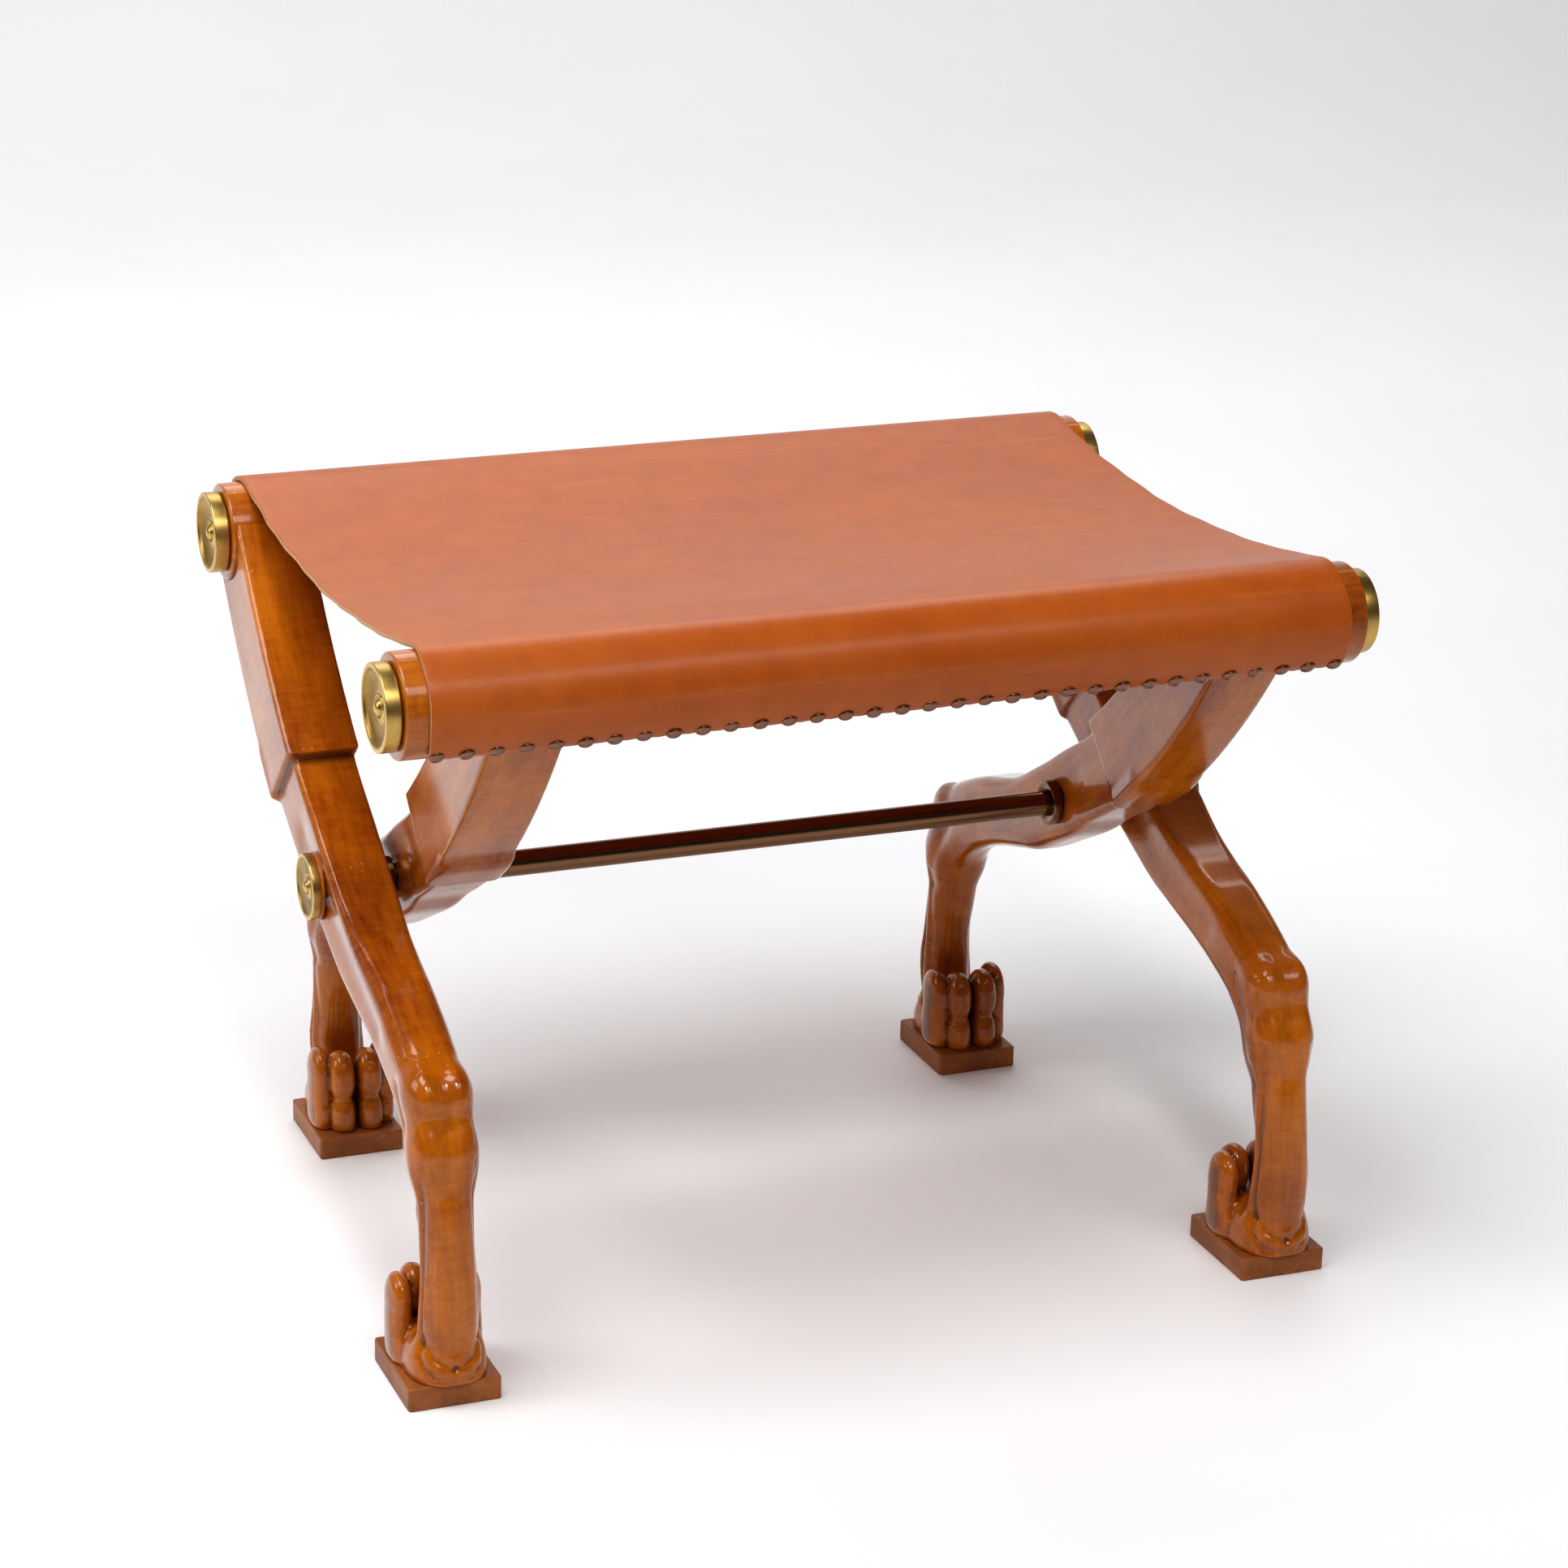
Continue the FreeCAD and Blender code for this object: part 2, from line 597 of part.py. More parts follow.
os.makedirs("parts", exist_ok=True)
for name, thing in nodes.items():
    thing.Shape.exportStep(f"parts/{name}.step")
    box = thing.Shape.BoundBox
    print(f"{name}: {len(thing.Shape.Solids)} solid, {thing.Shape.Volume / 1000:.1f} cm3,"
          f" X {box.XMin:.1f} {box.XMax:.1f}, Y {box.YMin:.1f} {box.YMax:.1f}, Z {box.ZMin:.1f} {box.ZMax:.1f}")
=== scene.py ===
# %% [markdown]
# # A folding X stool with carved animal legs
#
# Four wooden legs, each carved in one piece from a straight upper block down to a paw, cross in pairs on
# one pivot rod. Two round rails join them at the top and carry a leather sling held by a row of tacks.
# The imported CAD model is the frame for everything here, so it comes in first and nothing on it is moved.

# %% The frame
import math

import bmesh
import bpy
import numpy as np
from mathutils import Matrix, Vector


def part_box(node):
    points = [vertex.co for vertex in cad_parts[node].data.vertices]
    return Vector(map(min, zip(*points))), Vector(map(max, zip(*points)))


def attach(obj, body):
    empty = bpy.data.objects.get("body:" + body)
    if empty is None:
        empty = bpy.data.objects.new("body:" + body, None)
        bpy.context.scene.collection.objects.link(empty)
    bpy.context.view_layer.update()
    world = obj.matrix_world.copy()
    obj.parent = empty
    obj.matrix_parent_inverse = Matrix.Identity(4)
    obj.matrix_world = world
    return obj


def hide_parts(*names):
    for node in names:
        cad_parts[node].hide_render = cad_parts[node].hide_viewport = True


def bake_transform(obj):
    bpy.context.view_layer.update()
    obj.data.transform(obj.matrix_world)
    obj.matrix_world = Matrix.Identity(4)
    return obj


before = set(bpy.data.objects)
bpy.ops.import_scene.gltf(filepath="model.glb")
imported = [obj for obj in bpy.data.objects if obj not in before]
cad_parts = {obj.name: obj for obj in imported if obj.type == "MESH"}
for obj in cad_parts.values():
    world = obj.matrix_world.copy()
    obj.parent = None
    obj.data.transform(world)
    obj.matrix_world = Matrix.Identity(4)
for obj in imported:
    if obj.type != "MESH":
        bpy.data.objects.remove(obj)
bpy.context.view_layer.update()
MM = 0.001

# %% [markdown]
# The sizes that several pieces share are read from the CAD nodes, so that the scene follows the source.
# The X axis runs along the rails, Y from front to back, and Z up from the floor.

# %% Shared sizes
rail_low, rail_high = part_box("back_rail")
RAIL_RADIUS = (rail_high.z - rail_low.z) / 2
RAIL_Y = (rail_low.y + rail_high.y) / 2
RAIL_Z = (rail_low.z + rail_high.z) / 2
RAIL_HALF = rail_high.x
rod_low, rod_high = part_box("pivot_rod")
PIVOT_Z = (rod_low.z + rod_high.z) / 2
ROD_RADIUS = (rod_high.z - rod_low.z) / 2
pad_low, pad_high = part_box("pad_front_right")
LEG_OUT = (pad_low.x + pad_high.x) / 2
PAD_TOP = pad_high.z
back_pad_low, back_pad_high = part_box("pad_back_right")
LEG_IN = (back_pad_low.x + back_pad_high.x) / 2
print(f"rail radius {RAIL_RADIUS / MM:.1f}, legs at {LEG_OUT / MM:.1f} and {LEG_IN / MM:.1f} mm")

# %% [markdown]
# ## Camera
#
# The photograph was taken from the front left, a little above the seat. A long lens and a small sideways
# shift give the same perspective. The camera is built from its azimuth, elevation and roll, so each number
# says one thing about the view.

# %% Camera
VIEW_AZIMUTH = math.radians(-20.0)
VIEW_ELEVATION = math.radians(18.96)
VIEW_ROLL = math.radians(0.57)
VIEW_DISTANCE = 2.488
LOOKS_AT = Vector((-0.0737, 0, 0.2847))
PHOTO_SIDE = 1932
FOCAL_PIXELS = 5048.4
CENTRE_ACROSS = 800


def photo_camera():
    """A camera at the photograph's viewing angle."""
    back = Vector((
        math.sin(VIEW_AZIMUTH) * math.cos(VIEW_ELEVATION),
        -math.cos(VIEW_AZIMUTH) * math.cos(VIEW_ELEVATION),
        math.sin(VIEW_ELEVATION),
    ))
    right = (-back).cross(Vector((0, 0, 1))).normalized()
    up = right.cross(-back)
    turned_right = right * math.cos(VIEW_ROLL) + up * math.sin(VIEW_ROLL)
    turned_up = up * math.cos(VIEW_ROLL) - right * math.sin(VIEW_ROLL)
    data = bpy.data.cameras.new("photo_camera")
    data.sensor_width = 36
    data.lens = FOCAL_PIXELS / PHOTO_SIDE * data.sensor_width
    data.shift_x = (PHOTO_SIDE / 2 - CENTRE_ACROSS) / PHOTO_SIDE
    data.clip_end = 50
    camera = bpy.data.objects.new("photo_camera", data)
    axes = Matrix((turned_right, turned_up, back)).transposed()
    camera.matrix_world = Matrix.Translation(LOOKS_AT + back * VIEW_DISTANCE) @ axes.to_4x4()
    bpy.context.scene.collection.objects.link(camera)
    return camera


bpy.context.scene.camera = photo_camera()
print("camera lens", round(bpy.context.scene.camera.data.lens, 1), "mm")

# %% [markdown]
# Every mesh below is made by one small helper, which also shades it smooth. Shader trees get helpers too. Two
# do most of the work: one adds a node with its settings and links in a line, and one starts a node group with
# named sockets.


# %% Mesh helper
def new_mesh(name, points, faces):
    """A smooth-shaded object from points in metres and faces as lists of their numbers."""
    mesh = bpy.data.meshes.new(name)
    mesh.from_pydata([tuple(p) for p in points], [], [tuple(f) for f in faces])
    mesh.validate()
    mesh.shade_smooth()
    made = bpy.data.objects.new(name, mesh)
    bpy.context.scene.collection.objects.link(made)
    return made


print("mesh helper ready")


# %% Shader helpers
def supply(tree, socket, value):
    """Give an input socket its value, or link it from another node's socket."""
    if isinstance(value, bpy.types.NodeSocket):
        tree.links.new(value, socket)
    else:
        socket.default_value = value


def add(tree, kind, settings=None, **inputs):
    """Add a shader node. An input is given by its name, or as in0, in1 and so on by its place."""
    node = tree.nodes.new("ShaderNode" + kind)
    for key, value in (settings or {}).items():
        setattr(node, key, value)
    for key, value in inputs.items():
        name = key.replace("_", " ")
        by_place = name.startswith("in") and name[2:].isdigit()
        supply(tree, node.inputs[int(name[2:]) if by_place else name], value)
    return node


def maths(tree, operation, first, second=0.0):
    """One Math node, given by its operation and two numbers or sockets."""
    node = add(tree, "Math", {"operation": operation}, in0=first, in1=second)
    return node.outputs[0]


def mix(tree, share, first, second):
    """One Mix node on two colours."""
    node = add(tree, "Mix", {"data_type": "RGBA"}, in0=share, in6=first, in7=second)
    return node.outputs[2]


def span(tree, value, low, high, start=0.0, end=1.0):
    """A clamped ramp: value from low to high becomes start to end."""
    node = add(tree, "MapRange", {"clamp": True}, in0=value, in1=low, in2=high, in3=start, in4=end)
    return node.outputs[0]


def noise(tree, vector, scale, detail=3.0, roughness=0.5, distortion=0.0):
    """One Noise node's value."""
    node = add(tree, "TexNoise", None, Vector=vector, Scale=scale, Detail=detail,
               Roughness=roughness, Distortion=distortion)
    return node.outputs["Fac"]


def stretched(tree, vector, scale):
    """A vector scaled by a different amount on each axis."""
    return add(tree, "Mapping", None, Vector=vector, Scale=scale).outputs[0]


def new_group(name, inputs, outputs):
    """A shader node group with its named inputs and outputs, and the sockets inside it."""
    group = bpy.data.node_groups.new(name, "ShaderNodeTree")
    kinds = {"v": "NodeSocketVector", "f": "NodeSocketFloat", "c": "NodeSocketColor"}
    for label, kind, default in inputs:
        socket = group.interface.new_socket(label, in_out="INPUT", socket_type=kinds[kind])
        if default is not None:
            socket.default_value = default
    for label, kind in outputs:
        group.interface.new_socket(label, in_out="OUTPUT", socket_type=kinds[kind])
    start = group.nodes.new("NodeGroupInput")
    end = group.nodes.new("NodeGroupOutput")
    return group, start.outputs, end.inputs


def use_group(tree, group, **inputs):
    """Place a node group in a material and return its outputs."""
    node = tree.nodes.new("ShaderNodeGroup")
    node.node_tree = group
    for key, value in inputs.items():
        supply(tree, node.inputs[key.replace("_", " ")], value)
    return node.outputs


def new_material(name):
    """A material with a Principled shader, as its tree and that shader."""
    material = bpy.data.materials.new(name)
    material.use_nodes = True
    return material, material.node_tree, material.node_tree.nodes["Principled BSDF"]


def feed(tree, shader, **sources):
    """Link or set the Principled shader's inputs by name."""
    for key, value in sources.items():
        supply(tree, shader.inputs[key.replace("_", " ")], value)


print("shader helpers ready")

# %% [markdown]
# ## Studio
#
# The photograph is a plain product shot: a white floor that runs up into a white wall, one large soft light
# overhead, and weaker ones from the left and the back. A small bright one high near the camera puts the
# sparkle on edges, and two more keep the wall and the floor in front white. The rest of the room is dark,
# which gives the glossy wood and the front roll of the leather their deep colour.


# %% Floor and wall
SWEEP_HALF = 6.0
SWEEP_FRONT = -5.0
SWEEP_BEND = 3.0
SWEEP_RADIUS = 1.6
SWEEP_TOP = 4.5
SWEEP_STEPS = 12
FLOOR_COOL = (0.90, 0.90, 0.915, 1)
FLOOR_WHITE = (0.92, 0.92, 0.93, 1)


def studio_sweep():
    """A floor that curves up into a wall behind the stool, in one strip."""
    line = [(SWEEP_FRONT, 0.0)]
    for step in range(SWEEP_STEPS + 1):
        turn = math.radians(90 * step / SWEEP_STEPS)
        line.append((SWEEP_BEND + SWEEP_RADIUS * math.sin(turn), SWEEP_RADIUS * (1 - math.cos(turn))))
    line.append((SWEEP_BEND + SWEEP_RADIUS, SWEEP_TOP))
    points = [(x, y, z) for y, z in line for x in (-SWEEP_HALF, SWEEP_HALF)]
    faces = [(2 * i, 2 * i + 1, 2 * i + 3, 2 * i + 2) for i in range(len(line) - 1)]
    sweep = new_mesh("studio_sweep", points, faces)
    material, tree, shader = new_material("studio_white")
    place = add(tree, "TexCoord").outputs["Object"]
    tone = span(tree, noise(tree, place, 3.0), 0.3, 0.7)
    feed(tree, shader, Base_Color=mix(tree, tone, FLOOR_COOL, FLOOR_WHITE), Roughness=0.7)
    shader.inputs["Specular IOR Level"].default_value = 0.2
    sweep.data.materials.append(material)


studio_sweep()
print("floor and wall made")


# %% Lights
ROOM_GLOW = 0.07


def soft_light(name, place, target, size, power):
    """One rectangular soft light that faces a point. Its size is in metres and its power in watts."""
    data = bpy.data.lights.new(name, "AREA")
    data.shape = "RECTANGLE"
    data.size, data.size_y = size
    data.energy = power
    light = bpy.data.objects.new(name, data)
    way = Vector(target) - Vector(place)
    light.matrix_world = Matrix.Translation(place) @ way.to_track_quat("-Z", "Y").to_matrix().to_4x4()
    bpy.context.scene.collection.objects.link(light)


soft_light("overhead", place=(-0.9, -0.35, 2.5), target=(0, -0.1, 0.2), size=(1.3, 1.3), power=34)
soft_light("back_top", place=(0.5, 2.0, 2.4), target=(0, 0, 0.3), size=(2.2, 1.0), power=16)
soft_light("left_side", place=(-2.4, 0.3, 1.3), target=(0, 0, 0.3), size=(1.1, 1.1), power=13)
soft_light("sparkle", place=(-0.5, -1.9, 2.5), target=(0, 0, 0.2), size=(0.36, 0.36), power=15)
soft_light("wall_wash", place=(0.6, 1.8, 3.4), target=(0.4, 4.6, 1.2), size=(7.0, 1.2), power=94)
soft_light("front_floor", place=(0.4, -3.0, 3.2), target=(0.2, -1.6, 0), size=(3.0, 1.2), power=40)
world = bpy.data.worlds.new("studio_air")
world.use_nodes = True
background = world.node_tree.nodes["Background"]
background.inputs["Color"].default_value = (1.0, 1.0, 1.0, 1)
background.inputs["Strength"].default_value = ROOM_GLOW
bpy.context.scene.world = world
bpy.context.scene.view_settings.view_transform = "Standard"
bpy.context.scene.view_settings.look = "Medium High Contrast"
print("lights placed")

# %% [markdown]
# ## Finishes
#
# Three effects turn up in more than one finish, so each is a node group: the figure of the wood, the edges
# and hollows, and the small marks of handling. The pale edges are partly rubbed wear and partly a painted
# edge highlight, and the dark hollows are painted shade. A group only puts out colours, masks and heights.
# The shader itself stays in each material.


# %% Group: figure of the wood
PALE_PORE = (0.62, 0.30, 0.09, 1)


def wood_figure_group():
    """Streaks along the grain, faint curl across it and fine pale pores."""
    group, given, wanted = new_group(
        "wood_figure",
        [("Grain", "v", None), ("Light", "c", (0.5, 0.2, 0.03, 1)), ("Dark", "c", (0.25, 0.07, 0.01, 1)),
         ("Curl", "f", 0.5), ("Pores", "f", 0.5)],
        [("Color", "c"), ("Height", "f")])
    grain = given["Grain"]
    broad = noise(group, stretched(group, grain, (42, 11, 42)), 1.0, 3.0, 0.55, 0.6)
    streaks = noise(group, stretched(group, grain, (300, 34, 300)), 1.0, 4.0, 0.6, 0.3)
    curl = noise(group, stretched(group, grain, (60, 240, 60)), 1.0, 3.0, 0.6, 0.6)
    patches = noise(group, grain, 9.0, 2.0, 0.5, 0.3)
    tone = maths(group, "MULTIPLY", broad, 0.40)
    tone = maths(group, "ADD", tone, maths(group, "MULTIPLY", streaks, 0.24))
    tone = maths(group, "ADD", tone, maths(group, "MULTIPLY", patches, 0.36))
    ripple = maths(group, "MULTIPLY", maths(group, "SUBTRACT", curl, 0.5), given["Curl"])
    tone = maths(group, "ADD", tone, maths(group, "MULTIPLY", ripple, 0.55))
    share = span(group, tone, 0.36, 0.66)
    colour = mix(group, share, given["Light"], given["Dark"])
    pores = noise(group, stretched(group, grain, (900, 120, 900)), 1.0, 2.0, 0.5)
    pore_mask = span(group, pores, 0.64, 0.74)
    pale = mix(group, maths(group, "MULTIPLY", pore_mask, given["Pores"]), colour, PALE_PORE)
    group.links.new(pale, wanted["Color"])
    height = maths(group, "ADD", maths(group, "MULTIPLY", streaks, 0.6), maths(group, "MULTIPLY", curl, 0.4))
    group.links.new(height, wanted["Height"])
    return group


WOOD_FIGURE = wood_figure_group()
print("group:", WOOD_FIGURE.name)


# %% Group: edges and hollows
def edges_and_hollows_group():
    """Masks of the convex edges, broken up so that the worn edges aren't even, and of the hollows. The edge
    mask is partly real rubbing and partly a painted edge highlight; the hollow mask is painted shade.
    """
    group, given, wanted = new_group(
        "edges_and_hollows", [("Place", "v", None), ("Amount", "f", 0.5)], [("Edge", "f"), ("Hollow", "f")])
    point = add(group, "NewGeometry").outputs["Pointiness"]
    broken = noise(group, given["Place"], 60.0, 4.0, 0.6)
    # The edge mask is partly rubbed wear and partly a painted edge highlight.
    edge = span(group, point, 0.515, 0.60)
    edge = maths(group, "MULTIPLY", edge, span(group, broken, 0.35, 0.6))
    group.links.new(maths(group, "MULTIPLY", edge, given["Amount"]), wanted["Edge"])
    # The hollow mask is painted shade: it darkens creases and grooves in the colour.
    group.links.new(span(group, point, 0.49, 0.42), wanted["Hollow"])
    return group


EDGES_AND_HOLLOWS = edges_and_hollows_group()
print("group:", EDGES_AND_HOLLOWS.name)


# %% Group: marks of handling
def handling_group():
    """Soft smudges, and small pale specks and nicks in the finish."""
    group, given, wanted = new_group(
        "handling_marks", [("Place", "v", None), ("Specks", "f", 0.5)], [("Smudge", "f"), ("Speck", "f")])
    smudge = noise(group, given["Place"], 14.0, 5.0, 0.6, 0.5)
    group.links.new(span(group, smudge, 0.35, 0.7), wanted["Smudge"])
    cells = add(group, "TexVoronoi", {"feature": "F1"}, Vector=given["Place"], Scale=170.0, Randomness=1.0)
    near = span(group, cells.outputs["Distance"], 0.16, 0.06)
    chosen = span(group, noise(group, given["Place"], 23.0, 2.0), 0.56, 0.66)
    speck = maths(group, "MULTIPLY", maths(group, "MULTIPLY", near, chosen), given["Specks"])
    group.links.new(speck, wanted["Speck"])
    return group


HANDLING = handling_group()
print("group:", HANDLING.name)


# %% [markdown]
# The wood is lacquered to a gloss, so a clear coat lies over a rough, warm base. On the legs the grain
# follows the leg round its bend: each mesh carries a "grain" attribute, whose Y runs down the leg. Its
# "hollow" attribute is 1 in a tight groove, and there the colour is darkened as painted shade. The rails and
# pads are straight, so they read their Object coordinates, turned by a Mapping node.


# %% Lacquered wood
# The pale edge colour is partly real wear and partly a painted edge highlight.
EDGE_WEAR_AND_HIGHLIGHT = (0.60, 0.26, 0.06, 1)
# The groove colour is painted shade.
GROOVE_PAINTED_SHADE = (0.055, 0.010, 0.002, 1)
WOOD_SPECK = (0.70, 0.45, 0.22, 1)


def lacquered_wood(name, light, dark, curl, pores, attribute=None, turn=(0, 0, 0), roughness=0.32, coat=1.0):
    """One wood finish. Its grain comes from a mesh attribute, or from Object coordinates turned about."""
    material, tree, shader = new_material(name)
    place = add(tree, "TexCoord").outputs["Object"]
    if attribute:
        grain = add(tree, "Attribute", {"attribute_name": attribute}).outputs["Vector"]
        carved = add(tree, "Attribute", {"attribute_name": "hollow"}).outputs["Fac"]
    else:
        grain = add(tree, "Mapping", None, Vector=place, Rotation=turn).outputs[0]
        carved = 0.0
    figure = use_group(tree, WOOD_FIGURE, Grain=grain, Light=light, Dark=dark, Curl=curl, Pores=pores)
    edge_and_hollow = use_group(tree, EDGES_AND_HOLLOWS, Place=place, Amount=0.55)
    marks = use_group(tree, HANDLING, Place=place, Specks=0.8)
    # Paler edges: partly real wear, partly a painted edge highlight.
    colour = mix(tree, edge_and_hollow["Edge"], figure["Color"], EDGE_WEAR_AND_HIGHLIGHT)
    # Painted shade: the colour is darkened in grooves and hollows.
    hollow = maths(tree, "MAXIMUM", maths(tree, "MULTIPLY", edge_and_hollow["Hollow"], 0.6), carved)
    colour = mix(tree, hollow, colour, GROOVE_PAINTED_SHADE)
    colour = mix(tree, maths(tree, "MULTIPLY", marks["Speck"], 0.7), colour, WOOD_SPECK)
    base = span(tree, marks["Smudge"], 0.0, 1.0, roughness - 0.05, roughness + 0.09)
    bump = add(tree, "Bump", None, Strength=0.10, Distance=0.0004, Height=figure["Height"])
    feed(tree, shader, Base_Color=colour, Roughness=base, Normal=bump.outputs[0])
    shader.inputs["Specular IOR Level"].default_value = 0.12
    shader.inputs["Coat Weight"].default_value = coat
    shader.inputs["Coat Roughness"].default_value = 0.11
    shader.inputs["Coat IOR"].default_value = 1.42
    return material


LEG_LIGHT = (0.54, 0.155, 0.004, 1)
LEG_DARK = (0.20, 0.033, 0.001, 1)
PAD_LIGHT = (0.38, 0.125, 0.038, 1)
PAD_DARK = (0.17, 0.050, 0.014, 1)
LEG_WOOD = lacquered_wood("leg_wood", LEG_LIGHT, LEG_DARK, 0.36, 0.2, attribute="grain")
RAIL_WOOD = lacquered_wood("rail_wood", LEG_LIGHT, LEG_DARK, 0.3, 0.2, turn=(0, 0, math.radians(90)))
PAD_WOOD = lacquered_wood("pad_wood", PAD_LIGHT, PAD_DARK, 0.1, 0.3, turn=(0, 0, math.radians(8)),
                          roughness=0.42, coat=0.25)
print("wood finishes ready")


# %% [markdown]
# Leather takes its colour from the tanning and its life from three scales of detail: cloudy patches a hand
# wide, fine creases, and the pebbled grain of the hide. The sheen is soft. The cut edges are raw and paler,
# so the sheet carries an "edge" attribute that is 1 on the cut.


# %% Leather finish
TAN_DEEP = (0.38, 0.080, 0.006, 1)
TAN_WARM = (0.45, 0.110, 0.013, 1)
TAN_MOTTLE = (0.27, 0.050, 0.006, 1)
TAN_CREASE = (0.52, 0.165, 0.045, 1)
RAW_DARK = (0.42, 0.20, 0.09, 1)
RAW_PALE = (0.66, 0.42, 0.24, 1)


def saddle_leather(name):
    """Tan saddle leather, lightly used."""
    material, tree, shader = new_material(name)
    place = add(tree, "TexCoord").outputs["Object"]
    edge = add(tree, "Attribute", {"attribute_name": "edge"}).outputs["Fac"]
    clouds = noise(tree, place, 6.0, 5.0, 0.6, 0.4)
    mottle = noise(tree, place, 45.0, 4.0, 0.6)
    colour = mix(tree, span(tree, clouds, 0.3, 0.7), TAN_DEEP, TAN_WARM)
    colour = mix(tree, span(tree, mottle, 0.42, 0.75, 0.0, 0.35), colour, TAN_MOTTLE)
    across = noise(tree, stretched(tree, place, (4, 60, 60)), 1.0, 4.0, 0.65, 0.2)
    colour = mix(tree, span(tree, across, 0.60, 0.75, 0.0, 0.35), colour, TAN_CREASE)
    fibres = noise(tree, place, 900.0, 3.0, 0.7)
    raw = mix(tree, span(tree, fibres, 0.3, 0.7), RAW_DARK, RAW_PALE)
    colour = mix(tree, edge, colour, raw)
    pebbles = add(tree, "TexVoronoi", {"feature": "SMOOTH_F1"}, Vector=place, Scale=1100.0, Smoothness=0.6)
    creases = noise(tree, stretched(tree, place, (60, 260, 260)), 1.0, 4.0, 0.6, 0.5)
    height = maths(tree, "ADD", maths(tree, "MULTIPLY", pebbles.outputs["Distance"], 0.5),
                   maths(tree, "MULTIPLY", creases, 0.8))
    bump = add(tree, "Bump", None, Strength=0.22, Distance=0.0005, Height=height)
    rough = maths(tree, "ADD", span(tree, clouds, 0.3, 0.7, 0.36, 0.46), maths(tree, "MULTIPLY", edge, 0.4))
    feed(tree, shader, Base_Color=colour, Roughness=rough, Normal=bump.outputs[0])
    shader.inputs["Specular IOR Level"].default_value = 0.22
    shader.inputs["Coat Weight"].default_value = 0.2
    shader.inputs["Coat Roughness"].default_value = 0.2
    return material


LEATHER = saddle_leather("leather")
print("leather ready")


# %% [markdown]
# The turned metal is old: bright where fingers and cloths reach, olive to brown in the dished face. The mask
# is the distance from the piece's own axis, so one finish serves the four rail discs and another the two
# pivot discs. The absolute value of Y lets front and back discs share it. The bronze and the tacks are even
# all over: their one ring has no width, which leaves no patina.


# %% Aged metal
def aged_metal(name, bright, patina, axis_y, axis_z, rings, rough=(0.26, 0.44)):
    """Turned metal with patina in the hollows. It stays bright on rings, each a radius and a width."""
    material, tree, shader = new_material(name)
    place = add(tree, "TexCoord").outputs["Object"]
    parts = add(tree, "SeparateXYZ", None, Vector=place).outputs
    y = maths(tree, "SUBTRACT", maths(tree, "ABSOLUTE", parts["Y"]), axis_y)
    z = maths(tree, "SUBTRACT", parts["Z"], axis_z)
    squares = [maths(tree, "MULTIPLY", part, part) for part in (y, z)]
    radius = maths(tree, "SQRT", maths(tree, "ADD", *squares))
    cloud = noise(tree, place, 60.0, 4.0, 0.6, 0.3)
    old = span(tree, cloud, 0.30, 0.70, 0.4, 1.0)
    for ring, width in rings:
        off = maths(tree, "ABSOLUTE", maths(tree, "SUBTRACT", radius, ring))
        old = maths(tree, "MULTIPLY", old, span(tree, off, width * 0.5, width * 1.5))
    colour = mix(tree, old, bright, patina)
    specks = span(tree, noise(tree, place, 700.0, 3.0, 0.6), 0.62, 0.72, 0.0, 0.6)
    speck_colour = tuple(0.35 * part for part in patina[:3]) + (1,)
    colour = mix(tree, specks, colour, speck_colour)
    outwards = add(tree, "CombineXYZ", None, X=radius).outputs[0]
    lathe = add(tree, "TexWave", {"wave_type": "BANDS", "bands_direction": "X"}, Vector=outwards,
                Scale=520.0, Distortion=0.4)
    height = maths(tree, "ADD", maths(tree, "MULTIPLY", lathe.outputs["Fac"], 0.4), cloud)
    bump = add(tree, "Bump", None, Strength=0.05, Distance=0.0002, Height=height)
    feed(tree, shader, Base_Color=colour, Metallic=1.0, Normal=bump.outputs[0],
         Roughness=span(tree, old, 0.0, 1.0, *rough))
    return material


BRASS_BRIGHT = (0.66, 0.44, 0.14, 1)
BRASS_OLD = (0.33, 0.205, 0.055, 1)
PIVOT_OLD = (0.22, 0.16, 0.075, 1)
BRONZE_WARM = (0.21, 0.11, 0.06, 1)
BRONZE_DARK = (0.10, 0.052, 0.03, 1)
TACK_WARM = (0.24, 0.125, 0.085, 1)
TACK_DARK = (0.10, 0.045, 0.03, 1)
EVEN = [(0.0, 0.0)]
RAIL_BRASS = aged_metal("rail_brass", BRASS_BRIGHT, BRASS_OLD, RAIL_Y, RAIL_Z,
                        [(0.0, 0.005), (0.0080, 0.0012), (0.0238, 0.0012)])
PIVOT_BRASS = aged_metal("pivot_brass", BRASS_BRIGHT, PIVOT_OLD, 0.0, PIVOT_Z,
                         [(0.0, 0.0042), (0.0065, 0.0010), (0.0190, 0.0010)])
BRONZE = aged_metal("bronze", BRONZE_WARM, BRONZE_DARK, 0.0, PIVOT_Z, EVEN, rough=(0.22, 0.4))
TACK_METAL = aged_metal("tack_metal", TACK_WARM, TACK_DARK, 0.0, 0.0, EVEN, rough=(0.25, 0.4))
print("metals ready")

# %% [markdown]
# ## Carved legs
#
# A leg changes from a straight sawn block into muscle, bone and toes. Pushing points of a box about would
# never give that clean run, so the leg is built as a distance field: at each point of a grid of cells a
# number says how far the wood's surface is, below zero inside. Forms are joined by a smooth minimum, which
# makes the soft valleys that a gouge leaves. The surface is then drawn through the zeros.
#
# The side outline comes first. It is the line that the maker would draw on the plank.


